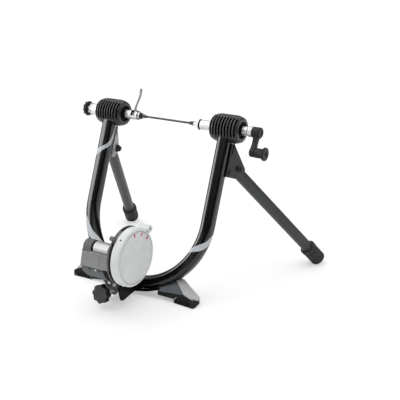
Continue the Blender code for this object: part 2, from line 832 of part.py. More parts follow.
def build_pivot_bolt(pivot, side, name, seat):
    """The bolt that a leg turns on, and the cone knob on its inner end."""
    thread = 0.4 * pivot_knob_length
    bolt = turned([(side * (seat + pivot_head_length), 0),
                   (side * (seat + pivot_head_length), pivot_head_radius - 0.001),
                   (side * (seat + pivot_head_length - 0.001), pivot_head_radius),
                   (side * seat, pivot_head_radius), (side * seat, pivot_bolt_radius),
                   (-side * (seat + thread), pivot_bolt_radius), (-side * (seat + thread), 0)],
                  small_sides)
    make_piece(name + "_pivot_bolt", bolt, "black_plastic", pivot)
    bore = pivot_bolt_radius + gap
    knob = turned([(-side * (seat + thread + gap), 0), (-side * (seat + thread + gap), bore),
                   (-side * seat, bore), (-side * seat, pivot_knob_radius),
                   (-side * (seat + 0.3 * pivot_knob_length), pivot_knob_radius),
                   (-side * (seat + pivot_knob_length), pivot_knob_tip),
                   (-side * (seat + pivot_knob_length), 0)], small_sides)
    make_piece(name + "_pivot_knob", knob, "black_plastic", pivot)


def build_cap(base, pivot, name, tube_end):
    """The rubber cap, cut flat where it stands on the floor."""
    start = leg_length - cap_length
    bore = leg_radius + gap
    profile = [
        (tube_end + gap, 0), (tube_end + gap, bore), (start, bore),
        (start, cap_collar_radius - 0.001), (start + 0.001, cap_collar_radius),
        (start + cap_collar_length, cap_collar_radius),
        (start + cap_collar_length + 0.0015, cap_radius), (leg_length - cap_rounding, cap_radius),
        (leg_length - 0.3 * cap_rounding, cap_radius - 0.3 * cap_rounding),
        (leg_length, cap_radius - cap_rounding), (leg_length, 0),
    ]
    cap = make_piece(name + "_leg_cap", stood_up(turned(profile, round_sides)), "rubber", pivot)
    reach = leg_length + arm_spacing
    cut(cap, "cut_floor_" + name, block((-reach, -reach, -cap_length), (reach, reach, 0)), parent=base)


def ramp(x, y):
    """Height of the sloping face on which a foot's outer plate lies."""
    return ramp_height - tan(ramp_slope) * (x - ramp_reach) + ramp_cant * (y + foot_front)


def foot_slab(side, outline, low, high):
    """A slab that follows the ramp, between two heights over it."""
    shape = bmesh.new()
    bottom = [shape.verts.new((side * x, y, ramp(x, y) + low)) for x, y in outline]
    top = [shape.verts.new((side * x, y, ramp(x, y) + high)) for x, y in outline]
    shape.faces.new(bottom)
    shape.faces.new(top)
    ends = zip(bottom, bottom[1:] + bottom[:1], top[1:] + top[:1], top)
    for corners in ends:
        shape.faces.new(corners)
    return shape


def build_foot(rail, frame, side, name):
    """A foot under the bend: a moulded base, a plate on its ramp and a rubber pad."""
    front = -foot_front
    back = -foot_back
    corners = [(foot_inner, front, foot_clear), (foot_inner, back, foot_clear),
               (foot_inner, front, foot_lip), (foot_inner, back, ramp(foot_ridge, back) - 0.008),
               (ramp_reach, front, ramp(ramp_reach, front)),
               (foot_ridge, -foot_ridge_back, ramp(foot_ridge, -foot_ridge_back)),
               (foot_ridge + 0.015, back, ramp(foot_ridge + 0.015, back)),
               (foot_outer, front + 0.002, ramp(foot_outer, front)),
               (foot_outer, back - 0.018, ramp(foot_outer, back - 0.018)),
               (foot_outer, front + 0.002, foot_clear), (foot_outer, back - 0.018, foot_clear),
               (ramp_reach, front, foot_clear)]
    shape = hull([(side * x, y, z) for x, y, z in corners])
    body = make_piece(name + "_foot_base", shape, "slate_plastic", rail)
    cut(body, "cut_foot_tube_" + name, tube_envelope(gap, 0), parent=frame)
    room = block((foot_step - gap, front - 0.02, -0.01), (foot_outer + 0.05, back + 0.02, pad_height + gap))
    if side < 0:
        bmesh.ops.scale(room, vec=(-1, 1, 1), verts=room.verts)
    cut(body, "cut_foot_pad_" + name, room)

    sheet = [(foot_ridge, -foot_ridge_back), (ramp_reach, front), (foot_outer - 0.006, front + 0.002),
             (foot_outer + 0.008, front + 0.016), (foot_outer + 0.005, back - 0.020),
             (foot_ridge + 0.015, back - 0.004)]
    plate = make_piece(name + "_foot_plate", foot_slab(side, sheet, gap, gap + plate_thickness),
                       "light_grey", rail)
    cut(plate, "cut_plate_tube_" + name, tube_envelope(gap, 0), parent=frame)
    build_pad(rail, side, name)


def build_pad(rail, side, name):
    """The rubber pad under a foot, ribbed in front and sloped under the plate."""
    front = -foot_front - pad_overhang
    back = -foot_back - 0.010
    outline = [(foot_step, -foot_front), (foot_outer + 0.004, front), (foot_outer + 0.006, front + 0.010),
               (foot_outer + 0.002, back - 0.006), (foot_step + 0.002, back)]
    corners = [(side * x, y, 0) for x, y in outline]
    corners += [(side * max(x, foot_step + pad_corner), y, pad_height) for x, y in outline]
    corners += [(side * foot_step, y, pad_height - pad_corner) for y in (-foot_front, back)]
    pad = make_piece(name + "_foot_pad", hull(corners), "rubber", rail)
    grooves = bmesh.new()
    span = foot_outer - foot_step
    for number in range(pad_rib_count - 1):
        middle = side * (foot_step + span * (number + 1) / pad_rib_count)
        half = (span / pad_rib_count - pad_rib_width) / 2
        low = (middle - half, front - 0.005, (pad_height - pad_rib_height) / 2)
        high = (middle + half, front + pad_overhang + pad_rib_depth, (pad_height + pad_rib_height) / 2)
        add_block(grooves, low, high)
    cut(pad, "cut_pad_grooves_" + name, grooves)
    reach = foot_outer + 0.05
    over = [(foot_step - 0.02, -foot_front - 0.02), (reach, -foot_front - 0.02),
            (reach, -foot_back + 0.02), (foot_step - 0.02, -foot_back + 0.02)]
    cut(pad, "cut_pad_ramp_" + name, foot_slab(side, over, 0, 0.05))


def build_base_bracket(rail, frame, screw):
    """The black fork behind the bend that carries the roller unit."""
    inner = swing_cheek + swing_sheet + play
    outer = inner + base_sheet
    y = -swing_pivot_back
    z = swing_pivot_height
    outline = arc(y, z, base_boss, 180, 0, 6)
    outline += [(-base_reach, base_top), (base_grip - base_reach, base_top), (base_grip - base_reach, base_foot)]
    outline += [(-base_reach, base_foot), (-base_reach - base_slant, base_edge)]
    outline += arc(-base_toe_back, base_clear + base_toe_radius, base_toe_radius, 290, 195, 3)
    outline += [(-base_back, base_corner_height)]
    shape = prism(outline, -outer, outer)
    bracket = make_piece("unit_base_bracket", shape, "gloss_black", rail)
    middle = block((-inner, -base_back - margin, -margin),
                   (inner, -base_reach - base_web, z + base_boss + margin))
    pad = tension_length() + gap
    lug = block((pad, -inner - 0.001, -pad_web_half), (pad + base_sheet, inner + 0.001, pad_web_half))
    strap = add_sector(bmesh.new(), 270 - saddle_sweep, 270 + saddle_sweep, saddle_front, saddle_rear,
                       saddle_radius() + gap, saddle_radius() + saddle_thickness, 8)
    bmesh.ops.rotate(strap, cent=(0, 0, 0), matrix=Matrix.Rotation(-pi / 2, 3, "Z"), verts=strap.verts)
    weld(bracket, "weld_saddle", strap, parent=frame, location=(0, 0, -arm_straight()))
    cut(bracket, "cut_fork", middle)
    weld(bracket, "weld_thrust_plate", lug, parent=screw)
    cut(bracket, "cut_base_tube", tube_envelope(gap, 0), parent=frame)
    hole = rod(-outer - 0.002, outer + 0.002, swing_pin_radius + gap)
    cut(bracket, "cut_base_pin", hole, location=(0, y, z))


def saddle_radius():
    """Outer radius of the frame tube's bend."""
    return (arm_spacing + tube_width) / 2


def tension_length():
    """From the tension knob's face to the tip of its screw."""
    return (tension_back - tension_tip_back) / cos(tension_slope)


def build_swing_bracket(swing, screw):
    """The bracket that tilts on the fork: two cheeks, a tray, a flange and a tail."""
    inner = swing_cheek
    outer = swing_cheek + swing_sheet
    top = tray_height - swing_pivot_height
    front = swing_pivot_back - tray_front
    boss = swing_boss
    tail = swing_pivot_back - tail_back
    outline = [(front + 0.004, top + 0.0015), (tray_back_edge(), top + 0.0015)]
    outline += arc(0, 0, boss, 45, -60, 3)
    outline += [(tail + 0.006, -tail_drop), (tail - 0.006, -tail_drop + 0.002),
                (tail - 0.0105, -0.012), (front + 0.022, -0.008), (front + 0.004, top - swing_flange + 0.002)]
    shape = prism(outline, -outer, outer)
    bracket = make_piece("swing_bracket", shape, "slate_paint", swing)
    room = block((-inner, front - margin, -tail_drop - margin), (inner, boss + margin, top - 0.0005))
    cut(bracket, "cut_cheeks", room)
    bottom = -tail_drop - margin
    under = [(-near_edge_rear, near_edge_rear_rise), (-near_edge_bend, near_edge_bend_rise),
             (-near_edge_front, -near_edge_front_drop), (-near_edge_front, bottom), (-near_edge_rear, bottom)]
    cut(bracket, "cut_left_cheek", prism(under, -outer - 0.001, -inner + 0.001))
    tray = block((-swing_half_width, front, top), (swing_half_width, tray_back_edge() + 0.004, top + swing_sheet))
    weld(bracket, "weld_tray", tray)
    low = top - swing_flange
    face = [(-swing_half_width, top + 0.001), (swing_half_width, top + 0.001), (swing_half_width, low),
            (-swing_half_width + flange_cut, low), (-swing_half_width, low + 0.6 * flange_cut)]
    flange = hull([(x, y, z) for x, z in face for y in (front, front + swing_sheet)])
    weld(bracket, "weld_flange", flange)
    plate = tail_distance()
    edge = inner + 0.001
    corners = [(-edge, tail_half), (edge, tail_half), (edge, 0.001), (-edge, 0.001),
               (tail_tip, -tail_half), (-tail_tip, -tail_half)]
    web = hull([(x, y, z) for y, z in corners for x in (plate, plate + swing_sheet)])
    weld(bracket, "weld_tail", web, parent=screw)
    cut(bracket, "cut_swing_pin", rod(-outer - 0.002, outer + 0.002, swing_pin_radius + gap))
    cut(bracket, "cut_tail_hole", rod(plate - 0.002, plate + swing_sheet + 0.002, tension_bolt_radius + gap),
        parent=screw)


def tray_back_edge():
    """Back end of the tray, measured from the swing pivot."""
    return swing_pivot_back - tray_back


def tail_distance():
    """From the tension knob's face to the tail that its screw goes through."""
    return (tension_back - tail_back) / cos(tension_slope)


def dome(length):
    """Profile of the foot's rounded end, which tilts on the plate that it presses."""
    profile = []
    for step in range(4):
        turn = radians(90 * step / 3.5)
        profile.append((length - tension_foot_dome * (1 - sin(turn)), tension_foot_radius * cos(turn)))
    return profile + [(length, tension_foot_radius * cos(radians(80))), (length, 0)]


def build_tension(screw):
    """The screw that presses the roller to the tyre, its knob and its nut."""
    length = tension_length()
    foot = length - tension_foot_length
    neck = tension_neck_radius
    bolt = turned([(0.4 * tension_knob_length, 0), (0.4 * tension_knob_length, neck),
                   (tension_knob_length + gap, neck), (tension_knob_length + gap, tension_bolt_radius),
                   (foot - gap, tension_bolt_radius), (foot - gap, neck),
                   (length - tension_foot_wall - gap, neck), (length - tension_foot_wall - gap, 0)], 12)
    make_piece("tension_screw", bolt, "zinc", screw)
    tip = turned([(length - tension_foot_wall, 0), (length - tension_foot_wall, neck + gap),
                  (foot, neck + gap), (foot, tension_foot_radius)] + dome(length), 16)
    make_piece("tension_tip", tip, "zinc", screw)
    outline = lobed(tension_knob_radius, tension_knob_lobe, tension_knob_lobes, 6)
    knob = make_piece("tension_knob", prism(outline, 0, tension_knob_length), "black_plastic", screw)
    hole = rod(0.4 * tension_knob_length - gap, tension_knob_length + 0.01, neck + gap, 12)
    cut(knob, "cut_knob_hole", hole)
    start = tail_distance() + swing_sheet + gap
    make_nut("tension_nut", start, start + tension_nut_length, tension_bolt_radius + gap,
             tension_nut_radius, screw)


def build_bracket_bolts(swing):
    """The pin that the bracket tilts on, and the bolts in its right cheek."""
    outer = swing_cheek + swing_sheet + play + base_sheet + gap
    head = outer + swing_pin_head_length
    pin = turned([(-head, 0), (-head, swing_pin_head), (-outer, swing_pin_head),
                  (-outer, swing_pin_radius), (outer, swing_pin_radius), (outer, swing_pin_head),
                  (head, swing_pin_head), (head, 0)], small_sides)
    make_piece("unit_pivot_pin", pin, "zinc", swing.parent, swing.location)
    side = swing_cheek + swing_sheet
    bracket = bpy.data.objects["swing_bracket"]
    for name, back, height in (("upper", upper_bolt_back, upper_bolt_height),
                               ("lower", lower_bolt_back, lower_bolt_height)):
        place = (0, swing_pivot_back - back, height - swing_pivot_height)
        hole = rod(swing_cheek - 0.002, side + 0.002, cross_bolt_radius + gap, 8)
        cut(bracket, "cut_cross_bolt_" + name, hole, location=place)
        bolt = make_piece(name + "_cross_bolt", rod(swing_cheek - 0.004, side + gap + 0.001, cross_bolt_radius, 8),
                          "zinc", swing, place)
        cap = rod(side + gap, side + gap + cross_bolt_head_length, cross_bolt_head, 6)
        weld(bolt, "weld_cross_head_" + name, cap, location=place)


def cradle_base():
    """Underside of the cradle, from the roller axis."""
    return tray_height + swing_sheet + gap - roller_height


def build_cradle(roller_axis):
    """The cast cradle that holds the roller's bearings, bolted to the tray."""
    low = cradle_base()
    foot = -cradle_arch - cradle_lean
    lip = -cradle_panel_drop
    outline = [(foot, low), (cradle_rear, low)]
    outline += arc(0, 0, cradle_arch, 0, 180, 12)
    outline += [(-cradle_arch - 0.0025, lip)]
    cradle = make_piece("roller_cradle", prism(outline, cradle_left, cradle_right), "warm_grey",
                        roller_axis)
    shelf = low + cradle_floor
    slope = (cradle_arch + 0.0025 - cradle_panel, foot + cradle_panel)
    inside = [(-slope[0], lip + 0.001), (slope[1], shelf), (cradle_rear + 0.01, shelf),
              (cradle_rear + 0.01, lip + 0.001)]
    cut(cradle, "cut_cradle_inside", prism(inside, cradle_left_inner, cradle_right_inner))
    above = block((cradle_left_inner, foot - 0.01, lip), (cradle_right_inner, cradle_rear + 0.01, 0.05))
    cut(cradle, "cut_cradle_top", above)
    pocket = bearing_radius + gap
    shaft = roller_shaft_radius + 2 * gap
    for name, face, way in (("left", cradle_left_inner, -1), ("right", cradle_right_inner, 1)):
        end = face + way * (bearing_width + gap)
        bore = [(face - way * 0.001, 0), (face - way * 0.001, pocket), (end, pocket), (end, shaft + 0.002)]
        if way < 0:
            bore += [(end - 0.004, shaft + 0.002), (end - 0.004, 0)]
        else:
            bore += [(cradle_right + 0.001, shaft + 0.002), (cradle_right + 0.001, 0)]
        cut(cradle, "cut_pocket_" + name, turned(bore, 16))
        low_x = min(face + way * gap, end)
        high_x = max(face + way * gap, end)
        race = ring(low_x + 0.0001, high_x - 0.0001, roller_shaft_radius + gap, bearing_radius, 16)
        make_piece("bearing_" + name, race, "bright_steel", roller_axis)
    build_cradle_bolts(roller_axis, cradle, shelf)


def build_cradle_bolts(roller_axis, cradle, shelf):
    """Two bolts up through the tray into the cradle's floor."""
    bracket = bpy.data.objects["swing_bracket"]
    head = tray_height - roller_height - gap
    for side, name in ((-1, "left"), (1, "right")):
        place = (side * cradle_bolt_spacing / 2, 0, 0)
        bolt = turned([(-shelf - 0.0005, 0), (-shelf - 0.0005, cradle_bolt_radius), (-head, cradle_bolt_radius),
                       (-head, cradle_bolt_head), (-head + cradle_bolt_head_length, cradle_bolt_head),
                       (-head + cradle_bolt_head_length, 0)], 8)
        make_piece("cradle_bolt_" + name, stood_up(bolt), "zinc", roller_axis, place)
        hole = cradle_bolt_radius + gap
        for piece in (bracket, cradle):
            shape = stood_up(rod(-shelf - 0.004, -head + 0.002, hole, 8))
            cut(piece, "cut_" + piece.name + "_bolt_" + name, shape, parent=roller_axis, location=place)


def build_back_housing(roller_axis):
    """Neck, back plate and the parts of a rim that the dial turns on."""
    start = cradle_right + gap
    plate_end = back_plate_start + back_plate
    profile = [(start, back_bore), (start, neck_radius), (start + 0.006, neck_radius),
               (back_plate_start, neck_flare), (back_plate_start, back_radius),
               (plate_end, back_radius), (plate_end, back_bore)]
    housing = make_piece("back_housing", turned(profile, 32, closed=True), "dark_grey", roller_axis)
    rim_end = plate_end + cover_gap - gap
    for number, (low, high) in enumerate(rim_sectors):
        begin = skirt_start if number == 1 else back_plate_start + 0.001
        piece = add_sector(bmesh.new(), low, high, begin, rim_end, back_radius - rim_wall,
                           back_radius - 0.0006)
        weld(housing, "weld_rim_" + str(number), piece)
    turn = radians(lug_angle)
    place = (0, lug_reach * cos(turn), lug_reach * sin(turn))
    weld(housing, "weld_lug", rod(back_plate_start - 0.002, rim_end - 0.001, lug_radius, 10), location=place)
    return plate_end


def build_rotor(roller_axis, plate_end):
    """Roller, shaft and the metal disc that turns between the magnets and the plate."""
    shaft_start = cradle_left_inner - bearing_width - 2 * gap
    disc = plate_end + rotor_gap
    shaft_end = disc + rotor_thickness + 0.0005
    make_piece("roller_shaft", rod(shaft_start, shaft_end, roller_shaft_radius, 16), "bright_steel",
               roller_axis)
    bore = roller_shaft_radius + gap
    profile = [(roller_left, bore), (roller_left, roller_radius - 0.001), (roller_left + 0.001, roller_radius),
               (roller_right - 0.001, roller_radius), (roller_right, roller_radius - 0.001),
               (roller_right, bore)]
    make_piece("roller", turned(profile, 32, closed=True), "bright_steel", roller_axis)
    rotor = ring(disc, disc + rotor_thickness, bore, rotor_radius, 32)
    make_piece("rotor_disc", rotor, "bright_steel", roller_axis)
    return shaft_end


def build_dial(roller_axis, plate_end, shaft_end):
    """The dial cover that turns round the roller axis, with its magnet plate."""
    start = plate_end + cover_gap
    face = start + cover_depth
    inner = cover_radius - cover_wall
    floor = face - cover_wall
    magnets = max(shaft_end, plate_end + rotor_gap + rotor_thickness) + 0.0012
    plate = magnets + magnet_height - 0.0005
    post = plate + magnet_plate_thickness + gap
    screw = dial_screw_radius + gap
    profile = [(floor - 0.004, 0), (floor - 0.004, screw), (post, screw), (post, cover_post_radius),
               (floor, cover_post_radius), (floor, inner), (start, inner), (start, cover_radius),
               (face - cover_rounding, cover_radius)]
    profile += [(face - cover_rounding + z, cover_radius - cover_rounding + y)
                for y, z in arc(0, 0, cover_rounding, 30, 90, 2)]
    profile += [(face, cover_groove_radius + cover_groove), (face - cover_groove, cover_groove_radius),
                (face, cover_groove_radius - cover_groove), (face, 0)]
    cover = make_piece("dial_cover", turned(profile, 40), "cover_grey", roller_axis)
    turn = radians(tab_angle)
    place = (0, tab_reach * cos(turn), tab_reach * sin(turn))
    weld(cover, "weld_tab", rod(start - tab_back, start - tab_back + tab_length, tab_radius, 12), location=place)
    hole = rod(start + tab_length - tab_back - 0.008, start + tab_length, tab_hole_radius, 8)
    cut(cover, "cut_tab_hole", hole, location=place)

    bore = screw
    carrier = ring(plate, plate + magnet_plate_thickness, bore, magnet_plate_radius, 32)
    carrier = make_piece("magnet_plate", carrier, "magnet", roller_axis)
    for number in range(magnet_count):
        angle = 2 * pi * number / magnet_count
        spot = (0, magnet_ring * cos(angle), magnet_ring * sin(angle))
        disc = rod(magnets, plate + 0.0005, magnet_radius, 10)
        weld(carrier, "weld_magnet_" + str(number), disc, location=spot)
    head = plate - gap
    screw_shape = turned([(head - 0.0022, 0), (head - 0.0022, dial_screw_head - 0.001),
                          (head, dial_screw_head), (head, dial_screw_radius),
                          (floor - 0.004 - gap, dial_screw_radius), (floor - 0.004 - gap, 0)], small_sides)
    make_piece("dial_screw", screw_shape, "zinc", roller_axis)


def build_unit(rail, frame):
    """The roller unit on its swinging bracket, and what carries and presses it."""
    swing = make_empty("unit_tilt_axis", rail, (0, -swing_pivot_back, swing_pivot_height))
    screw = make_empty("tension_axis", swing,
                       (0, swing_pivot_back - tension_back, tension_height - swing_pivot_height),
                       (0, tension_slope, pi / 2))
    build_base_bracket(rail, frame, screw)
    build_swing_bracket(swing, screw)
    build_bracket_bolts(swing)
    build_tension(screw)
    roller_axis = make_empty("roller_axis", swing,
                             (0, swing_pivot_back - roller_back, roller_height - swing_pivot_height))
    build_cradle(roller_axis)
    plate_end = build_back_housing(roller_axis)
    shaft_end = build_rotor(roller_axis, plate_end)
    build_dial(roller_axis, plate_end, shaft_end)


def build_trainer():
    clear_objects()
    base = make_empty("trainer", None, (0, arm_top_forward, 0))
    frame = make_empty("frame_plane", base, (0, 0, arm_top_height), (-frame_lean, 0, 0))
    axle = make_empty("axle_line", frame, (0, arm_setback, axle_rise), (frame_lean, 0, 0))
    rail = make_empty("rail_line", base, (0, -rail_back(), 0))
    build_frame_tube(frame)
    for side, name in ((-1, "left"), (1, "right")):
        build_housing(frame, side, name)
        build_leg(base, frame, side, name)
        build_foot(rail, frame, side, name)
    build_left_clamp(axle)
    build_skewer(axle)
    build_right_clamp(axle)
    build_unit(rail, frame)


build_trainer()
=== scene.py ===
import json
from math import acos, atan2, copysign, cos, degrees, hypot, pi, radians, sin

import bmesh
import bpy
from mathutils import Matrix, Vector


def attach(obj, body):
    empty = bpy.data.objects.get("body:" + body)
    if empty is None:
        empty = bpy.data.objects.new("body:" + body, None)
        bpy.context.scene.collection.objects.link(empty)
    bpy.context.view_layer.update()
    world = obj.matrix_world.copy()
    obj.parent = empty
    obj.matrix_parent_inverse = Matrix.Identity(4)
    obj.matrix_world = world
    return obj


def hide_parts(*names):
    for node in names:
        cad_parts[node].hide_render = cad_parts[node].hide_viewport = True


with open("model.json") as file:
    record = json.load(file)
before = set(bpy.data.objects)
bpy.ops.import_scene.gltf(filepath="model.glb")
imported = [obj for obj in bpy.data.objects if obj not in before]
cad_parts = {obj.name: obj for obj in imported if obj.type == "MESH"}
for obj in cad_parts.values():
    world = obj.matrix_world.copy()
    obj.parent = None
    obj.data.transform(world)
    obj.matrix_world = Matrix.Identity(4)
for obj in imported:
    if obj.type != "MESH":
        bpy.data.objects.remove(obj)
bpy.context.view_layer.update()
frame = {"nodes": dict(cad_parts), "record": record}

bodyOf = {node: body for body, nodes in frame["record"]["behaviour"]["bodies"].items() for node in nodes}
sides = ((-1, "left"), (1, "right"))

# Places that the pieces are made around, in metres, as the solids have them
lean = radians(20.5)                    # of the frame, backwards
legTurn = radians(20.2)                 # of each leg's plane
armTop, armReach = 0.395, 0.1695        # height of the arms' ends, and how far each arm is from the middle
armLength = 0.228548                    # down to the bend
legDrop, legForward = 0.0867, 0.044     # of a leg's pivot, down the arm and forwards from it
legLength, legEnd = 0.4015, 0.01006     # from the pivot to the end of the cap, and the height of that end
axleForward, axleHeight = 0.03729, 0.3935
shaftRadius, shaftBore = 0.008, 0.0083  # of both clamps
rollerForward, rollerHeight = -0.23456, 0.1461
framePlane = Matrix.Translation((0, 0.02984, armTop)) @ Matrix.Rotation(-lean, 4, "X")
axleLine = Matrix.Translation((0, axleForward, axleHeight))
leverAxis = Matrix.Translation((-0.0993, axleForward, axleHeight))
crankAxis = Matrix.Translation((0.2351, axleForward, axleHeight)) @ Matrix.Rotation(radians(-26.3), 4, "X")
gripAxis = crankAxis @ Matrix.Translation((0.0183, 0, -0.0468))
rollerAxis = Matrix.Translation((0, rollerForward, rollerHeight))
tiltAxis = Matrix.Translation((0, -0.17816, 0.062))
tensionAxis = Matrix(((0, -1, 0, 0), (0.98657, 0, 0.16333, -0.24666),       # sloped by 9.4 degrees
                      (-0.16333, 0, 0.98657, 0.0378), (0, 0, 0, 1)))


def legPlane(side):
    pivot = Matrix.Translation((side * armReach, 0, -legDrop))
    return framePlane @ pivot @ Matrix.Rotation(-side * legTurn, 4, "Z")


def legAxis(side):
    # down the leg, which is swung out until its end comes to the floor
    along, across = cos(lean), cos(legTurn) * sin(lean)
    pivotHeight = armTop - legDrop * cos(lean) - legForward * across
    swing = atan2(across, along) + acos((pivotHeight - legEnd) / legLength / hypot(along, across))
    return legPlane(side) @ Matrix.Translation((0, legForward, 0)) @ Matrix.Rotation(swing, 4, "X")


# Finishes. Every one is mixed from noise on the coordinates that a piece was made in.
def look(colour, change, roughness, wear, grain, depth, specular=0.5, metallic=0.0, turned=False):
    # change is of the colour and wear of the roughness; grain is in lumps to a metre, depth in micrometres
    return {"colour": colour if isinstance(colour, tuple) else (colour, colour, colour), "change": change,
            "roughness": roughness, "wear": wear, "grain": grain, "depth": depth / 1000000,
            "specular": specular, "metallic": metallic, "turned": turned}


looks = {
    "enamel": look((0.003, 0.003, 0.0034), 0.25, 0.12, 0.06, 180, 4),
    "bracketEnamel": look((0.0015, 0.0015, 0.0017), 0.25, 0.3, 0.12, 180, 6, 0.16),
    # dark satin paint, also the painted shade on the swing bracket's +X faces
    "satinPaintAndShade": look((0.024, 0.026, 0.027), 0.2, 0.4, 0.14, 900, 40),
    # painted highlight for the leg brackets' inward cheek faces
    "cheekHighlight": look(0.3, 0.14, 0.42, 0.14, 900, 40, 0.4),
    "slatePaint": look((0.112, 0.122, 0.127), 0.14, 0.4, 0.14, 900, 40, 0.4),
    "redInk": look((0.52, 0.018, 0.06), 0.12, 0.4, 0.1, 1600, 30, 0.4),
    "blackMoulding": look((0.0085, 0.0085, 0.009), 0.25, 0.42, 0.14, 1600, 50, 0.28),
    "ribbedMoulding": look((0.0095, 0.0095, 0.0098), 0.25, 0.33, 0.12, 1600, 40, 0.55),
    # painted highlight for the ribs' chamfers
    "ribHighlight": look(0.18, 0.2, 0.3, 0.12, 1600, 40),
    # near black, for painted shade in recesses, grooves, slots and gaps, and for a few small black parts
    "recess": look(0.004, 0.2, 0.8, 0.1, 1600, 50, 0.2),
    # black rubber, also the painted shade on the feet's low side faces
    "rubber": look((0.0105, 0.0105, 0.011), 0.25, 0.68, 0.16, 1400, 120, 0.3),
    "capRubber": look((0.026, 0.027, 0.028), 0.2, 0.62, 0.16, 1400, 120, 0.3),
    "slateMoulding": look((0.072, 0.083, 0.095), 0.14, 0.46, 0.14, 1500, 60, 0.4),
    "darkMoulding": look((0.06, 0.062, 0.063), 0.16, 0.46, 0.14, 1500, 60, 0.35),
    # painted light on the tension knob's outward faces
    "knobLitFace": look((0.036, 0.036, 0.037), 0.16, 0.46, 0.14, 1500, 60, 0.35),
    "warmMoulding": look((0.232, 0.233, 0.233), 0.12, 0.48, 0.14, 1300, 80, 0.35),
    # mid grey of the arches, also used for a painted highlight line and painted shade lines
    "archGreyAndPaintedLines": look(0.11, 0.14, 0.48, 0.14, 1300, 80, 0.35),
    "paleMoulding": look(0.43, 0.08, 0.48, 0.12, 1500, 60, 0.35),
    "coverMoulding": look((0.66, 0.68, 0.67), 0.05, 0.4, 0.12, 1600, 50, 0.4),
    # painted shade in the dial cover's ring groove
    "grooveShade": look((0.26, 0.27, 0.27), 0.1, 0.5, 0.1, 1600, 50, 0.3),
    "brightSteel": look(0.7, 0.06, 0.42, 0.1, 2400, 30, metallic=1.0, turned=True),
    "rollerSteel": look(0.42, 0.06, 0.4, 0.1, 2400, 30, metallic=1.0, turned=True),
    "hexagonSteel": look(0.4, 0.1, 0.3, 0.12, 1800, 40, metallic=1.0, turned=True),
    "leverSteel": look(0.25, 0.12, 0.34, 0.14, 1800, 40, metallic=1.0),
    "rodSteel": look(0.075, 0.14, 0.4, 0.14, 1800, 40, metallic=0.9, turned=True),
    "magnetSteel": look((0.3, 0.3, 0.31), 0.12, 0.34, 0.14, 1800, 40, metallic=0.9, turned=True),
    "zinc": look((0.6, 0.6, 0.58), 0.12, 0.36, 0.16, 1800, 40, metallic=1.0, turned=True),
    # dark zinc, also used as painted shade on the skewer's cam and the crank's collar
    "darkZincAndShade": look(0.22, 0.14, 0.36, 0.16, 1800, 40, metallic=1.0, turned=True),
}


def feed(tree, node, values):
    # puts values on a node's sockets, or links other nodes' outputs to them
    for name, source in values.items():
        if isinstance(source, bpy.types.NodeSocket):
            tree.links.new(source, node.inputs[name])
        else:
            node.inputs[name].default_value = source


def addNode(tree, kind, sockets=None, **settings):
    node = tree.nodes.new(kind)
    for name, value in settings.items():
        setattr(node, name, value)
    feed(tree, node, sockets or {})
    return node


def calculate(tree, operation, first, second=0.0, clamp=False):
    sockets = {0: first, 1: second}
    return addNode(tree, "ShaderNodeMath", sockets, operation=operation, use_clamp=clamp).outputs[0]


def remap(tree, source, low, high, start, end):
    sockets = {"Value": source, "From Min": low, "From Max": high, "To Min": start, "To Max": end}
    return addNode(tree, "ShaderNodeMapRange", sockets).outputs["Result"]


def noise(tree, place, scale, detail):
    return addNode(tree, "ShaderNodeTexNoise", {"Vector": place, "Scale": scale, "Detail": detail}).outputs[0]


def attribute(tree, name):
    return addNode(tree, "ShaderNodeAttribute", attribute_name=name).outputs["Vector"]


def separate(tree, source):
    return addNode(tree, "ShaderNodeSeparateXYZ", {0: source}).outputs


def makeFinish(name):
    given = looks[name]
    finish = bpy.data.materials.new(name)
    finish.use_nodes = True
    tree = finish.node_tree
    shader = tree.nodes["Principled BSDF"]
    place = attribute(tree, "making")

    change, roughness, wear = given["change"], given["roughness"], given["wear"]
    cloud = noise(tree, place, 45, 4)           # broad, soft change of colour
    shade = remap(tree, cloud, 0.3, 0.7, 1 - change, 1 + change)
    colour = addNode(tree, "ShaderNodeVectorMath", {0: given["colour"], "Scale": shade}, operation="SCALE")
    stretched = addNode(tree, "ShaderNodeMapping", {"Vector": place, "Scale": (1, 3.5, 1)}).outputs[0]
    scuff = noise(tree, stretched, 120, 5)      # rubbed patches
    height = noise(tree, place, given["grain"], 2)
    if given["turned"]:                         # fine rings left by the lathe
        parts = separate(tree, place)
        across, up = (calculate(tree, "POWER", parts[axis], 2.0) for axis in ("Y", "Z"))
        reach = calculate(tree, "SQRT", calculate(tree, "ADD", across, up))
        rings = addNode(tree, "ShaderNodeCombineXYZ", {0: parts["X"], 1: reach}).outputs[0]
        height = calculate(tree, "ADD", height, noise(tree, rings, 2600, 2))
    bump = addNode(tree, "ShaderNodeBump", {"Strength": 0.6, "Distance": given["depth"], "Height": height})
    feed(tree, shader, {"Base Color": colour.outputs[0],
                        "Roughness": remap(tree, scuff, 0.3, 0.7, roughness - wear / 2, roughness + wear),
                        "Metallic": given["metallic"], "Specular IOR Level": given["specular"],
                        "Normal": bump.outputs["Normal"]})
    return finish


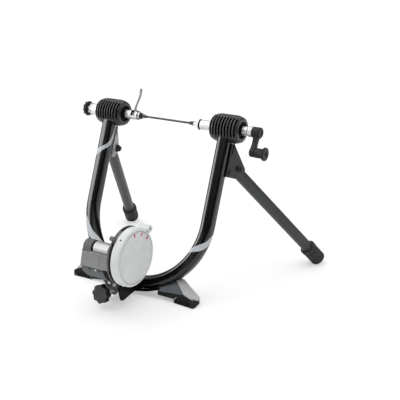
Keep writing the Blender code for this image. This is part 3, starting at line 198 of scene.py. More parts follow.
# The marks on the frame tube, painted by distance along it and round it, in millimetres.
# Each edge is a list of (round the tube from its rear face, outwards positive; along it from the arm's top).
marks = [
    {"side": -1,
     "upper": [(-43, 2), (-36, 10), (-31.5, 40), (-28.5, 56), (-17, 78.5), (-5, 89), (12, 97.5), (28, 101)],
     "lower": [(-43, 1), (-37, 12), (-33.5, 56), (-30.5, 75), (-22, 87.5), (-9.5, 97.5), (3, 109),
               (12, 115.5), (28, 103)]},
    {"side": -1,
     "upper": [(-43, 380), (-23.5, 342), (-11.5, 319), (-5.5, 306), (1.5, 284), (5, 274), (10.5, 266.5),
               (19.5, 259), (38, 244)],
     "lower": [(-43, 370), (-23.5, 362), (-11.5, 344), (1, 330), (7.5, 320), (10.5, 312), (13, 300),
               (23, 276), (38, 243)]},
    {"side": 1,
     "upper": [(-43, 332), (-16, 300), (1.5, 278.5), (12, 268), (27, 252), (33, 248), (40, 244)],
     "lower": [(-43, 330), (-16, 315), (-9, 306), (12, 288), (21.5, 279.5), (31, 270), (36, 256), (40, 243)]},
]
markReach, markRun = 43, 400        # how far round the tube and along it an edge may go
markPaint = {"colour": (0.47, 0.5, 0.53, 1), "roughness": 0.36}


def edgeCurve(tree, around, points):
    # one edge of a mark: metres along the tube, by metres round it
    node = addNode(tree, "ShaderNodeFloatCurve")
    line = node.mapping.curves[0]
    line.points[0].location = (0.0, points[0][1] / markRun)
    line.points[1].location = (1.0, points[-1][1] / markRun)
    for across, along in points[1:]:
        line.points.new((across + markReach) / (2 * markReach), along / markRun)
    node.mapping.update()
    feed(tree, node, {"Value": remap(tree, around, -markReach / 1000, markReach / 1000, 0.0, 1.0)})
    return calculate(tree, "MULTIPLY", node.outputs[0], markRun / 1000)


def makeFrameFinish():
    finish = makeFinish("enamel")
    finish.name = "stripedEnamel"
    tree = finish.node_tree
    shader = tree.nodes["Principled BSDF"]
    along, around, side = separate(tree, attribute(tree, "surface"))
    total = None
    for mark in marks:
        after = calculate(tree, "SUBTRACT", along, edgeCurve(tree, around, mark["upper"]))
        before = calculate(tree, "SUBTRACT", edgeCurve(tree, around, mark["lower"]), along)
        inside = calculate(tree, "MULTIPLY", calculate(tree, "MINIMUM", after, before), 4000.0, True)
        for limit in (calculate(tree, "LESS_THAN", around, mark["upper"][-1][0] / 1000),
                      calculate(tree, "GREATER_THAN", around, -markReach / 1000),
                      calculate(tree, "MULTIPLY", side, float(mark["side"]), True)):
            inside = calculate(tree, "MULTIPLY", inside, limit)
        total = inside if total is None else calculate(tree, "MAXIMUM", total, inside)
    for socket, value, kind, first, out in (("Base Color", markPaint["colour"], "RGBA", 6, 2),
                                            ("Roughness", markPaint["roughness"], "FLOAT", 2, 0)):
        usual = shader.inputs[socket].links[0].from_socket
        mix = addNode(tree, "ShaderNodeMix", {0: total, first: usual, first + 1: value}, data_type=kind)
        feed(tree, shader, {socket: mix.outputs[out]})
    return finish


# Shapes
def turned(profile, steps=64, closed=False):
    # a profile of (along, radius) spun round X
    shape = bmesh.new()
    points = [shape.verts.new((along, 0, radius)) for along, radius in profile]
    edges = [shape.edges.new(pair) for pair in zip(points, points[1:])]
    if closed:
        edges.append(shape.edges.new((points[-1], points[0])))
    bmesh.ops.spin(shape, geom=points + edges, cent=(0, 0, 0), axis=(1, 0, 0), dvec=(0, 0, 0),
                   angle=2 * pi, steps=steps, use_merge=True)
    bmesh.ops.remove_doubles(shape, verts=shape.verts, dist=0.000001)
    bmesh.ops.recalc_face_normals(shape, faces=shape.faces)
    return shape


def facing(side, profile):
    return [(side * along, radius) for along, radius in profile]


def rod(start, end, radius, steps=48):
    return turned([(start, 0), (start, radius), (end, radius), (end, 0)], steps)


def ring(start, end, inner, outer, steps=64):
    return turned([(start, inner), (start, outer), (end, outer), (end, inner)], steps, closed=True)


def prism(outline, low, high):
    # an outline of (y, z) drawn out along X
    shape = bmesh.new()
    face = shape.faces.new([shape.verts.new((low, y, z)) for y, z in outline])
    grown = bmesh.ops.extrude_face_region(shape, geom=[face])["geom"]
    far = [item for item in grown if isinstance(item, bmesh.types.BMVert)]
    bmesh.ops.translate(shape, verts=far, vec=(high - low, 0, 0))
    bmesh.ops.recalc_face_normals(shape, faces=shape.faces)
    return shape


def block(low, high):
    size = Vector(high) - Vector(low)
    shape = bmesh.new()
    bmesh.ops.create_cube(shape, size=1)
    bmesh.ops.scale(shape, vec=size, verts=shape.verts)
    return moved(shape, Vector(low) + size / 2)


def arc(y, z, radius, start, end, steps):
    turns = [radians(start + (end - start) * step / steps) for step in range(steps + 1)]
    return [(y + radius * cos(turn), z + radius * sin(turn)) for turn in turns]


def sector(start, end, low, high, inner, outer):
    steps = max(2, round((end - start) / 3))
    return prism(arc(0, 0, outer, start, end, steps) + arc(0, 0, inner, end, start, steps), low, high)


def lobed(radius, depth, lobes, steps=14):
    points = []
    for step in range(lobes * steps):
        turn = 2 * pi * step / (lobes * steps)
        reach = radius - depth * (0.5 - 0.5 * cos(lobes * turn))
        points.append((reach * cos(turn), reach * sin(turn)))
    return points


def lobedKnob(knob):
    outline = lobed(knob["radius"], knob["lobe"], knob["lobes"])
    return roundEdges(prism(outline, knob["start"], knob["start"] + knob["length"]), knob["round"], 3, 60)


def hexNut(start, end, bore, radius, chamfer, fall):
    # its outer edges fall by so much over the chamfer's length
    return turned([(start, bore), (start, radius - fall), (start + chamfer, radius), (end - chamfer, radius),
                   (end, radius - fall), (end, bore)], 6, True)


def moved(shape, way):
    bmesh.ops.translate(shape, vec=way, verts=shape.verts)
    return shape


def swung(shape, angle, axis):
    # by degrees, about a main axis
    spin = Matrix.Rotation(radians(angle), 3, axis)
    bmesh.ops.rotate(shape, cent=(0, 0, 0), matrix=spin, verts=shape.verts)
    return shape


def roundEdges(shape, width, segments=2, angle=30):
    bmesh.ops.recalc_face_normals(shape, faces=shape.faces)
    edges = [edge for edge in shape.edges
             if len(edge.link_faces) == 2 and edge.calc_face_angle() > radians(angle)]
    bmesh.ops.bevel(shape, geom=edges, offset=width, offset_type="OFFSET", segments=segments, profile=0.5,
                    affect="EDGES", clamp_overlap=True, material=-1)
    return shape


def asObject(name, shape):
    mesh = bpy.data.meshes.new(name)
    shape.to_mesh(mesh)
    shape.free()
    return linked(bpy.data.objects.new(name, mesh))


def linked(item):
    bpy.context.scene.collection.objects.link(item)
    return item


def carve(shape, *cutters):
    whole = asObject("whole", shape)
    tools = [asObject("tool", cutter) for cutter in cutters]
    for tool in tools:
        step = whole.modifiers.new("carve", "BOOLEAN")
        step.operation = "DIFFERENCE"
        step.solver = "EXACT"
        step.object = tool
    shape = bmesh.new()
    shape.from_object(whole, bpy.context.evaluated_depsgraph_get())
    for item in tools + [whole]:
        bpy.data.objects.remove(item)
    bmesh.ops.remove_doubles(shape, verts=shape.verts, dist=0.000005)
    return shape


def cadCopy(node, place):
    # a merged copy of a CAD node, in the coordinates of its own place
    shape = bmesh.new()
    shape.from_mesh(frame["nodes"][node].data)
    shape.transform(place.inverted())
    bmesh.ops.remove_doubles(shape, verts=shape.verts, dist=0.000005)
    bmesh.ops.dissolve_limit(shape, angle_limit=radians(1), verts=shape.verts, edges=shape.edges)
    return shape


finishes = {}


def finishNamed(name):
    # made when a piece first asks for it
    if name not in finishes:
        finishes[name] = makeFinish(name)
    return finishes[name]


def finishPiece(name, shape, finish, node, place=Matrix(), stands=True, floorCut=False, angle=35):
    # stands: drawn in place of the node, and not beside it
    bmesh.ops.recalc_face_normals(shape, faces=shape.faces)
    making = shape.verts.layers.float_vector.new("making")
    for vert in shape.verts:
        vert[making] = vert.co
    shape.transform(place)
    if floorCut:
        geom = shape.verts[:] + shape.edges[:] + shape.faces[:]
        bmesh.ops.bisect_plane(shape, geom=geom, plane_co=(0, 0, 0), plane_no=(0, 0, 1), clear_inner=True)
        bmesh.ops.holes_fill(shape, edges=[edge for edge in shape.edges if edge.is_boundary], sides=0)
    piece = asObject(name, shape)
    piece.data.materials.append(finishNamed(finish))
    piece.data.shade_smooth()
    piece.data.set_sharp_from_angle(angle=radians(angle))
    even = piece.modifiers.new("even", "WEIGHTED_NORMAL")
    even.keep_sharp = True
    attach(piece, bodyOf[node])
    if stands:
        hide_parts(node)
    return piece


def addDetail(name, shape, finish, node, place=Matrix()):
    finishPiece(name, shape, finish, node, place, stands=False)


def finishNode(name, finish, node, place, width, segments, angle):
    # the node's own shape, with its edges rounded
    return finishPiece(name, roundEdges(cadCopy(node, place), width, segments, angle), finish, node, place)


def polar(point):
    # along X, out from it, and degrees up from level
    return point.x, hypot(point.y, point.z), degrees(atan2(point.z, abs(point.y)))


def paintFaces(piece, finish, test):
    # gives a second finish to the faces that pass a test
    piece.data.materials.append(finishNamed(finish))
    second = len(piece.data.materials) - 1
    for face in piece.data.polygons:
        if test(face):
            face.material_index = second


def buildFrameTube():
    print("frame tube")
    tube = {"half": 0.016, "square": 2.9, "top": 0.0156, "sectionSteps": 64, "bendSteps": 96}
    # a rounded square with slightly crowned faces, and the distance round it from its rear face
    section, lengths = [], []
    for step in range(tube["sectionSteps"]):
        turn = 2 * pi * step / tube["sectionSteps"] - pi / 2
        across, deep = (copysign(tube["half"] * abs(part) ** (2 / tube["square"]), part)
                        for part in (cos(turn), sin(turn)))
        last = section[-1] if section else (across, deep)
        lengths.append(sum(lengths[-1:]) + hypot(across - last[0], deep - last[1]))
        section.append((across, deep))
    shape = bmesh.new()
    points = [shape.verts.new((armReach + across, deep, -tube["top"])) for across, deep in section]
    loop = [shape.edges.new(pair) for pair in zip(points, points[1:] + points[:1])]

    def draw(edges, rise):
        # draws edges out along Z, and gives the new ones at the far end
        grown = bmesh.ops.extrude_edge_only(shape, edges=edges)["geom"]
        far = [item for item in grown if isinstance(item, bmesh.types.BMVert)]
        bmesh.ops.translate(shape, verts=far, vec=(0, 0, rise))
        return [item for item in grown if isinstance(item, bmesh.types.BMEdge)
                and all(vert in far for vert in item.verts)]

    low = draw(loop, tube["top"] - armLength)
    corners = list(dict.fromkeys(vert for edge in low for vert in edge.verts))
    spun = bmesh.ops.spin(shape, geom=corners + low, cent=(0, 0, -armLength), axis=(0, 1, 0), dvec=(0, 0, 0),
                          angle=pi, steps=tube["bendSteps"])
    ends = [item for item in spun["geom_last"] if isinstance(item, bmesh.types.BMEdge)]
    draw(ends, armLength - tube["top"])
    bmesh.ops.remove_doubles(shape, verts=shape.verts, dist=0.000001)
    bmesh.ops.holes_fill(shape, edges=[edge for edge in shape.edges if edge.is_boundary], sides=0)

    surface = shape.verts.layers.float_vector.new("surface")
    # the section's points on one side, with their places along it
    outward = list(zip(section, lengths))[:tube["sectionSteps"] // 2 + 1]
    for vert in shape.verts:
        x, deep, down = vert.co.x, vert.co.y, -vert.co.z
        along, across = down, abs(x) - armReach
        if down > armLength:
            along = armLength + armReach * atan2(down - armLength, abs(x))
            across = hypot(x, down - armLength) - armReach
        away, side = abs(across), 1 if x > 0 else -1
        around = min(outward, key=lambda row: abs(row[0][0] - away) + abs(row[0][1] - deep))[1]
        vert[surface] = (along, around if across > 0 else -around, side)
    finishes["stripedEnamel"] = makeFrameFinish()
    finishPiece("frameTube", shape, "stripedEnamel", "u_frame_tube", framePlane)


def buildHousing(side, name):
    print(name, "housing")
    housing = {"half": 0.03725, "radius": 0.0334, "endRadius": 0.0298, "edge": 0.0035, "recess": 0.0195,
               "recessDepth": 0.004, "bore": 0.0153, "shoulder": 0.0145, "grooves": 9, "pitch": 0.0078,
               "width": 0.0053, "depth": 0.0062, "slant": 0.0002, "chamfer": 0.0005, "low": -40, "high": 44,
               "steps": 96}
    half, edge, chamfer, slant = (housing[part] for part in ("half", "edge", "chamfer", "slant"))
    wide, foot = housing["width"] / 2, housing["width"] / 2 + slant
    count = housing["grooves"]
    middles = [(number - (count - 1) / 2) * housing["pitch"] for number in range(count)]
    stops = [middle + reach for middle in middles
             for reach in (-foot - chamfer, -foot, -wide, wide, foot, foot + chamfer)]
    floors = [(middle - wide, middle + wide) for middle in middles]
    edges = [(middle + outward * foot, outward) for middle in middles for outward in (-1, 1)]

    inside, shoulder, near = housing["recessDepth"] - half, half - housing["shoulder"], 0.00001
    end = [(inside, housing["bore"]), (inside, housing["recess"]), (-half, housing["recess"] + 0.0006),
           (-half, housing["endRadius"] - edge)]
    end += arc(edge - half, housing["endRadius"] - edge, edge, 157.5, 90, 3)
    end += [(0.006 - half, 0.03075), (0.009 - half, 0.032), (0.0135 - half, 0.0329)]
    barrel = sorted({round(along, 6) for along in stops if abs(along) < shoulder})
    profile = end + [(along, housing["radius"]) for along in barrel] + facing(-1, end[::-1])
    shape = turned(profile, housing["steps"], closed=True)
    for stop in stops:      # extra rings under the end grooves, which lie on the rounded shoulders
        if abs(stop) >= shoulder:
            geom = shape.verts[:] + shape.edges[:] + shape.faces[:]
            bmesh.ops.bisect_plane(shape, geom=geom, plane_co=(stop, 0, 0), plane_no=(1, 0, 0))
    for vert in shape.verts:
        x, reach, turn = polar(vert.co)
        if reach < housing["recess"] + 0.002 or not housing["low"] <= turn <= housing["high"]:
            continue
        share = 1
        if any(low - near <= x <= high + near for low, high in floors):
            share = (housing["radius"] - housing["depth"]) / reach
        elif any(abs(x - edge) < near for edge, outward in edges):
            share = 1 - chamfer / reach
        vert.co.y *= share
        vert.co.z *= share
    place = framePlane @ Matrix.Translation((side * armReach, 0.0075, 0.0012))
    piece = finishPiece(name + "Housing", shape, "ribbedMoulding", name + "_housing", place, angle=28)
    back = place.inverted()

    def hollow(face):
        # painted shade, drawn near black: the recess in each end, and the grooves
        x, reach, turn = polar(back @ face.center)
        return reach < housing["recess"] + 0.0004 \
            or reach < housing["radius"] - 0.0012 and housing["low"] < turn < housing["high"] \
            and any(low - slant < x < high + slant for low, high in floors)

    # painted highlight: the narrow chamfers along the ribs are drawn pale, as catching light
    def chamfered(face):
        x, _, turn = polar(back @ face.center)
        return housing["low"] < turn < housing["high"] \
            and any(0 < outward * (x - edge) < chamfer for edge, outward in edges)

    paintFaces(piece, "recess", hollow)
    paintFaces(piece, "ribHighlight", chamfered)


def buildSleeve(side, name):
    print(name, "clamp")
    sleeve = {"inner": 0.13725, "step": 0.16725, "radius": 0.015, "wideBore": 0.0123, "end": 0.2362,
              "groove": (0.2324, 0.2336, 0.0142), "thin": (0.2028, 0.2245, 0.0108),
              "dark": (0.203, 0.21, 0.223)}
    inner, step, radius, wide = (sleeve[part] for part in ("inner", "step", "radius", "wideBore"))
    # where the painted shade lies: from start to stop at the right sleeve's root, and beyond rim at its end
    start, stop, rim = sleeve["dark"]
    if side < 0:
        low, high, floor = sleeve["groove"]
        outside = [(sleeve["end"], radius), (high, radius), (high, floor), (low, floor), (low, radius)]
    else:
        low, high, thin = sleeve["thin"]
        outside = [(high, thin), (rim, thin), (stop, thin), (low, thin), (low, radius)]
    profile = [(inner, wide), (step, wide), (step, shaftBore), (outside[0][0], shaftBore)]
    shape = roundEdges(turned(facing(side, profile + outside + [(inner, radius)]), 72, True), 0.0007, 3)
    piece = finishPiece(name + "Sleeve", shape, "brightSteel", name + "_axle_sleeve", axleLine)

    def dark(face):
        # painted shade, drawn near black: the step in the bore, the left sleeve's groove, and both ends of
        # the right one's thin part, the inner end where it sits in the housing's recess
        x, away = face.center.x, abs(face.center.x)
        return abs(face.normal.x) > 0.9 and away < stop or start < x < stop or x > rim \
            or sleeve["groove"][0] - 0.0001 < away < sleeve["groove"][1] + 0.0001

    paintFaces(piece, "recess", dark)


def buildCup(side, name):
    cup = {"mouth": 0.0898, "depth": 0.0215, "socket": 0.009 if side < 0 else 0.0092, "radius": 0.012,
           "rim": 0.013, "end": 0.1425, "waist": 0.1265, "thin": 0.0104}
    mouth, socket, radius, waist = (cup[part] for part in ("mouth", "socket", "radius", "waist"))
    bottom, end, thin = mouth + cup["depth"], cup["end"], cup["thin"]
    profile = [(bottom + 0.002, 0), (bottom + 0.002, shaftBore), (end, shaftBore), (end, radius)]
    if side < 0:
        profile += [(0.1375, radius), (0.1365, thin), (waist, thin), (0.115, 0.0106), (0.1142, radius),
                    (mouth + 0.0057, radius), (mouth + 0.005, 0.0114), (mouth, 0.0112)]
    else:
        profile += [(mouth + 0.0057, radius), (mouth + 0.0045, cup["rim"]), (mouth, cup["rim"])]
    profile += [(mouth, socket + 0.0018), (mouth + 0.0026, socket), (bottom, socket), (bottom, 0)]
    shape = turned(facing(side, profile), 72)
    if side < 0:            # a window on the socket
        shape = carve(shape, block((-mouth - 0.022, -0.0045, 0.002), (-mouth + 0.003, 0.0045, 0.017)),
                      block((-mouth - 0.018, -0.014, 0.0012), (-mouth - 0.0062, 0, 0.017)))
    else:                   # a groove round it
        shape = carve(shape, ring(mouth + 0.0024, mouth + 0.0064, 0.0112, 0.014))
    piece = finishPiece(name + "Cup", roundEdges(shape, 0.0003), "brightSteel", name + "_cup", axleLine)

    def dark(face):
        # painted shade, drawn near black: the groove, the mouth's chamfer, the socket, the sides of the
        # window, and the left cup's root next to the housing
        along, reach = abs(face.center.x), hypot(face.center.y - axleForward, face.center.z - axleHeight)
        return side > 0 and abs(along - mouth - 0.0044) < 0.0021 and reach < 0.0127 \
            or mouth < along < bottom and reach < socket + 0.0017 \
            or side < 0 and along > waist and reach > 0.01 \
            or side < 0 and mouth + 0.0002 < along < bottom and reach < 0.0109

    paintFaces(piece, "recess", dark)


def buildLeftClamp():
    shape = roundEdges(rod(-0.1377, -0.246, shaftRadius), 0.0005)
    finishPiece("leftShaft", shape, "brightSteel", "left_clamp_shaft", axleLine)
    shape = hexNut(-0.246, -0.2365, shaftBore, 0.0138, 0.0014, 0.002)
    finishPiece("leftHexagon", roundEdges(shape, 0.0004), "hexagonSteel", "left_clamp_hexagon", axleLine)

    shape = lobedKnob({"radius": 0.0188, "lobe": 0.0018, "lobes": 10, "start": -0.2558, "length": 0.0095,
                       "round": 0.0016})
    outer = min(shape.faces, key=lambda face: face.calc_center_median().x)
    bmesh.ops.inset_region(shape, faces=[outer], thickness=0.003, depth=-0.0008)
    finishPiece("leftDialKnob", shape, "blackMoulding", "left_dial_knob", axleLine)


def buildSkewer():
    print("skewer")
    shape = roundEdges(rod(-0.088, 0.0948, 0.0025, 32), 0.0003)
    finishPiece("skewerRod", shape, "rodSteel", "skewer_rod", axleLine)
    outer, waist, step, inner = -0.1093, -0.0962, -0.0954, -0.0883      # along the cam
    shape = turned([(outer, 0), (outer, 0.0066), (waist, 0.0066), (step, 0.0087), (inner, 0.0087),
                    (inner, 0)], 56)
    shape = carve(shape, block((-0.1088, -0.0024, -0.0055), (-0.0938, 0.0024, 0.02)))
    piece = finishPiece("skewerCam", roundEdges(shape, 0.0004), "brightSteel", "skewer_cam", axleLine)
    # painted shade: the cam's thin outer part, inside the cup and seen through its window, is drawn dark
    paintFaces(piece, "darkZincAndShade", lambda face: face.center.x < step + 0.0001)

    outer, edge, slope, inner, bore = -0.088, -0.084, -0.08, -0.078, 0.0028     # the washer's, and its bore
    shape = turned([(outer, bore), (outer, 0.0085), (edge, 0.0085), (slope, 0.0071), (inner, 0.0055),
                    (inner, bore)], 56, True)
    piece = finishPiece("skewerWasher", roundEdges(shape, 0.0004), "blackMoulding", "skewer_washer", axleLine)
    paintFaces(piece, "brightSteel", lambda face: face.center.x < edge + 0.0002)

    nut = {"face": 0.0743, "cone": 0.013, "length": 0.0255, "seat": 0.0953, "tip": 0.0042, "radius": 0.0086}
    face, end = nut["face"], nut["face"] + nut["length"]
    shape = turned([(nut["seat"], 0), (nut["seat"], 0.0028), (face, 0.0028), (face, nut["tip"]),
                    (face + 0.0045, 0.0052), (face + 0.0085, 0.0068), (face + nut["cone"], nut["radius"]),
                    (end, nut["radius"]), (end, 0)], 56)
    finishPiece("skewerNut", roundEdges(shape, 0.0004), "brightSteel", "skewer_nut", axleLine)
    buildSpring("skewerSpringLeft", "skewer_spring_left", -0.0777, 1, "darkZincAndShade")
    buildSpring("skewerSpringRight", "skewer_spring_right", 0.074, -1, "rodSteel")


def buildSpring(name, node, start, way, finish):
    spring = {"wire": 0.00055, "length": 0.0135, "large": 0.0052, "small": 0.0034, "turns": 5, "steps": 24}
    count = spring["turns"] * spring["steps"]
    line = bpy.data.curves.new(name, "CURVE")
    line.dimensions = "3D"
    line.bevel_depth = spring["wire"]
    line.bevel_resolution = 2
    line.use_fill_caps = True
    wire = line.splines.new("POLY")
    wire.points.add(count)
    for step, point in enumerate(wire.points):
        share = step / count
        turn = 2 * pi * step / spring["steps"]
        radius = spring["large"] + (spring["small"] - spring["large"]) * share
        along = start + way * (spring["wire"] + (spring["length"] - 2 * spring["wire"]) * share)
        point.co = (along, radius * cos(turn), radius * sin(turn), 1)
    coil = linked(bpy.data.objects.new(name + "Line", line))
    shape = bmesh.new()
    shape.from_mesh(bpy.data.meshes.new_from_object(coil))
    bpy.data.objects.remove(coil)
    bmesh.ops.remove_doubles(shape, verts=shape.verts, dist=0.000001)
    finishPiece(name, shape, finish, node, axleLine)


def ease(share):
    return 0.5 - 0.5 * cos(pi * min(1, max(0, share)))


def buildLever():
    # the outer edge lies "lean" times as far from the middle line as the inner one
    lever = {"root": 0.0046, "length": 0.06848, "offset": 0.0192, "waist": 0.7, "pad": 0.88, "lean": 0.4,
             "half": 0.0021, "steps": 28}

    def edge(side):
        line = []
        for step in range(1, lever["steps"] + 1):
            share = step / lever["steps"]
            breadth = lever["waist"] + (1 - lever["waist"]) * max(0, 1 - share / 0.45) ** 2
            breadth += (lever["pad"] - lever["waist"]) * ease((share - 0.45) / 0.5)
            if share > 0.94:
                breadth *= 1 - 0.45 * ((share - 0.94) / 0.06) ** 2
            across = lever["offset"] * ease((share - 0.1) / 0.85)
            line.append((across + side * lever["root"] * breadth, lever["length"] * share))
        return line

    outline = arc(0, 0, lever["root"], 180, 360, 16) + edge(lever["lean"]) + edge(-1)[::-1]
    shape = roundEdges(swung(prism(outline, -lever["half"], lever["half"]), -90, "Z"), 0.0006, 3, 50)
    finishPiece("skewerLever", shape, "leverSteel", "skewer_lever", leverAxis)


def buildCrank():
    print("crank")
    shape = roundEdges(rod(-0.0974, -0.0003, shaftRadius), 0.0004)
    finishPiece("rightShaft", shape, "brightSteel", "right_clamp_shaft", crankAxis)
    bore, rim, radius, groove = shaftBore, 0.0118, 0.0128, 0.0123
    shape = turned([(-0.0103, bore), (-0.0103, rim), (-0.0093, radius), (-0.0058, radius),
                    (-0.0054, groove), (-0.0048, groove), (-0.0044, radius), (-0.0013, radius),
                    (-0.0003, rim), (-0.0003, bore)], 64, True)
    piece = finishPiece("crankCollar", shape, "brightSteel", "crank_collar", crankAxis)
    back = crankAxis.inverted()

    def dark(face):
        # painted shade, drawn dark: the groove and the rim next to the sleeve
        x = (back @ face.center).x
        return -0.0055 < x < -0.0047 or x < -0.0093

    paintFaces(piece, "darkZincAndShade", dark)

    arm = {"hub": 0.0128, "length": 0.0205, "boss": 0.0108, "reach": 0.0468, "waist": 0.0058,
           "start": 0.0055, "end": 0.017, "round": 0.0014}
    wide, narrow, hub, end = arm["waist"] + 0.0012, arm["waist"], arm["hub"], arm["length"]
    left = [(-wide, -0.015), (-narrow, -0.0215), (-narrow, -0.029), (-wide, -0.035)]
    outline = arc(0, 0, hub - 0.0004, -50, 230, 30) + left
    outline += arc(0, -arm["reach"], arm["boss"], 140, 400, 30) + facing(-1, left[::-1])
    shape = roundEdges(prism(outline, arm["start"], arm["end"]), arm["round"], 3, 60)
    finishPiece("crankArm", shape, "blackMoulding", "crank_arm", crankAxis)
    shape = turned([(0, 0), (0, 0.0118), (0.001, hub), (end - 0.0016, hub), (end, hub - 0.0016),
                    (end, 0.0062), (end - 0.0012, 0.0058), (end - 0.0012, 0)])
    addDetail("crankHub", shape, "blackMoulding", "crank_arm", crankAxis)

    shape = turned([(0, 0.0031), (0, 0.0108), (0.0007, 0.0115), (0.012, 0.0113), (0.0165, 0.0116),
                    (0.019, 0.0126), (0.0203, 0.0146), (0.0212, 0.0154), (0.0222, 0.0155), (0.0248, 0.0155),
                    (0.026, 0.015), (0.0265, 0.014), (0.0265, 0.0064), (0.0258, 0.0053), (0.0227, 0.0053),
                    (0.0227, 0.0031)], 64, True)
    finishPiece("crankGrip", shape, "blackMoulding", "crank_grip", gripAxis)
    seat, end, radius = 0.023, 0.026, 0.0028        # of the pin's head, its end, and the shank
    shape = turned([(0, 0), (0, radius), (seat, radius), (seat, 0.005), (end - 0.0006, 0.005), (end, 0.0044),
                    (end, 0)], 40)
    shape = carve(shape, block((0.025, -0.0007, -0.0036), (0.027, 0.0007, 0.0036)))
    finishPiece("crankGripPin", shape, "recess", "crank_grip_pin", gripAxis)


def buildLegBracket(side, name):
    print(name, "leg")
    plane, node = legPlane(side), name + "_leg_bracket"
    piece = finishNode(name + "LegBracket", "satinPaintAndShade", node, plane, 0.0006, 2, 50)
    inward = plane.to_3x3() @ Vector((-side, 0, 0))
    # painted highlight: the cheek faces turned inwards are drawn pale grey, as lit
    paintFaces(piece, "cheekHighlight", lambda face: face.normal.dot(inward) > 0.9)
    # dark strips of painted shade for two pressed slots on each side of it, from a start to an end
    half = 0.002
    slots = ((0.0161, 0.0557, 0.0156, 0.0298), (0.0185, -0.0054, 0.0145, -0.0214))
    for number, (top, high, foot, low) in enumerate(slots):
        outline = [(top - half, high), (top + half, high), (foot + half, low), (foot - half, low)]
        for way in (-1, 1):
            title = name + "BracketSlot" + str(number) + ("Out" if way == side else "In")
            addDetail(title, prism(outline, way * 0.017, way * 0.018), "recess", node, plane)


def buildLeg(side, name):
    tube = {"radius": 0.0143, "wall": 0.0016, "top": 0.016, "capBase": 0.013}
    cap = {"radius": 0.02, "collar": 0.0208, "bore": 0.0146, "length": 0.057, "rounding": 0.0045,
           "collarLength": 0.011, "lobes": 8, "flute": 0.001}
    pivot = legAxis(side)
    end = legLength - tube["capBase"]
    shape = roundEdges(ring(-tube["top"], end, tube["radius"] - tube["wall"], tube["radius"]), 0.0005)
    finishPiece(name + "LegTube", swung(shape, 90, "Y"), "satinPaintAndShade", name + "_leg_tube", pivot)

    start, stop = legLength - cap["length"], legLength
    body, radius = start + cap["collarLength"], cap["radius"]
    collar, rounding = cap["collar"], cap["rounding"]
    profile = [(end + 0.0003, 0), (end + 0.0003, cap["bore"]), (start, cap["bore"]), (start, collar - 0.0012),
               (start + 0.0012, collar), (body - 0.0012, collar), (body, collar - 0.001),
               (body + 0.0004, radius - 0.0016), (body + 0.0022, radius - 0.0016), (body + 0.003, radius),
               (stop - 0.012, radius), (stop - 0.01, radius)]
    profile += arc(stop - rounding, radius - rounding, rounding, 90, 0, 5) + [(stop, 0)]
    shape = turned(profile, 96)
    for vert in shape.verts:
        reach = hypot(vert.co.y, vert.co.z)
        if body + 0.0025 < vert.co.x < stop - 0.009 and reach > 0.015:
            flute = max(0.0, -cos(cap["lobes"] * atan2(vert.co.z, vert.co.y))) ** 0.5
            vert.co.y *= 1 - flute * cap["flute"] / reach
            vert.co.z *= 1 - flute * cap["flute"] / reach
    finishPiece(name + "LegCap", swung(shape, 90, "Y"), "capRubber", name + "_leg_cap", pivot, floorCut=True)


def buildPivot(side, name):
    # the bolt's head is on the outside, the knob on the inside; both stand this far from the leg's middle
    seat, pivot = 0.0182, legAxis(side)
    bolt = [(seat + 0.0033, 0), (seat + 0.0033, 0.003), (seat + 0.0045, 0.0034), (seat + 0.0045, 0.0056),
            (seat + 0.0033, 0.0068), (seat, 0.0068), (seat, 0.004), (-seat - 0.0038, 0.004),
            (-seat - 0.0038, 0)]
    knob = [(seat + 0.0041, 0), (seat + 0.0041, 0.0043), (seat, 0.0043), (seat, 0.009),
            (seat + 0.0006, 0.0096), (seat + 0.0034, 0.0096), (seat + 0.005, 0.0088),
            (seat + 0.0104, 0.0062), (seat + 0.0116, 0.005), (seat + 0.0116, 0)]
    for kind, way, profile, steps in (("Bolt", side, bolt, 40), ("Knob", -side, knob, 48)):
        shape = turned(facing(way, profile), steps)
        finishPiece(name + "Pivot" + kind, shape, "blackMoulding", name + "_pivot_" + kind.lower(), pivot)


def buildFoot(name):
    print(name, "foot")
    piece = finishNode(name + "FootBase", "slateMoulding", name + "_foot_base", Matrix(), 0.001, 3, 25)
    # painted shade: the base's low side and under faces are drawn in the black rubber colour
    paintFaces(piece, "rubber", lambda face: face.normal.z < 0.2 and face.center.z < 0.02)
    finishNode(name + "FootPlate", "paleMoulding", name + "_foot_plate", Matrix(), 0.0006, 2, 30)
    finishNode(name + "FootPad", "rubber", name + "_foot_pad", Matrix(), 0.0006, 2, 30)


def buildBrackets():
    print("brackets")
    finishNode("baseBracket", "bracketEnamel", "unit_base_bracket", tiltAxis, 0.0006, 2, 40)
    bend = framePlane @ Matrix.Translation((0, 0, -armLength))
    for name, start, end in (("Left", 245.6, 247.4), ("Right", 292.6, 294.4)):
        shape = roundEdges(swung(sector(start, end, 0.0062, 0.0193, 0.1858, 0.1923), -90, "Z"), 0.0005)
        addDetail("strapEnd" + name, shape, "bracketEnamel", "unit_base_bracket", bend)
    piece = finishNode("swingBracket", "slatePaint", "swing_bracket", tiltAxis, 0.0006, 2, 40)
    # painted shade: the bracket's faces turned to +X are drawn in the darker satin paint
    paintFaces(piece, "satinPaintAndShade", lambda face: face.normal.x > 0.7)


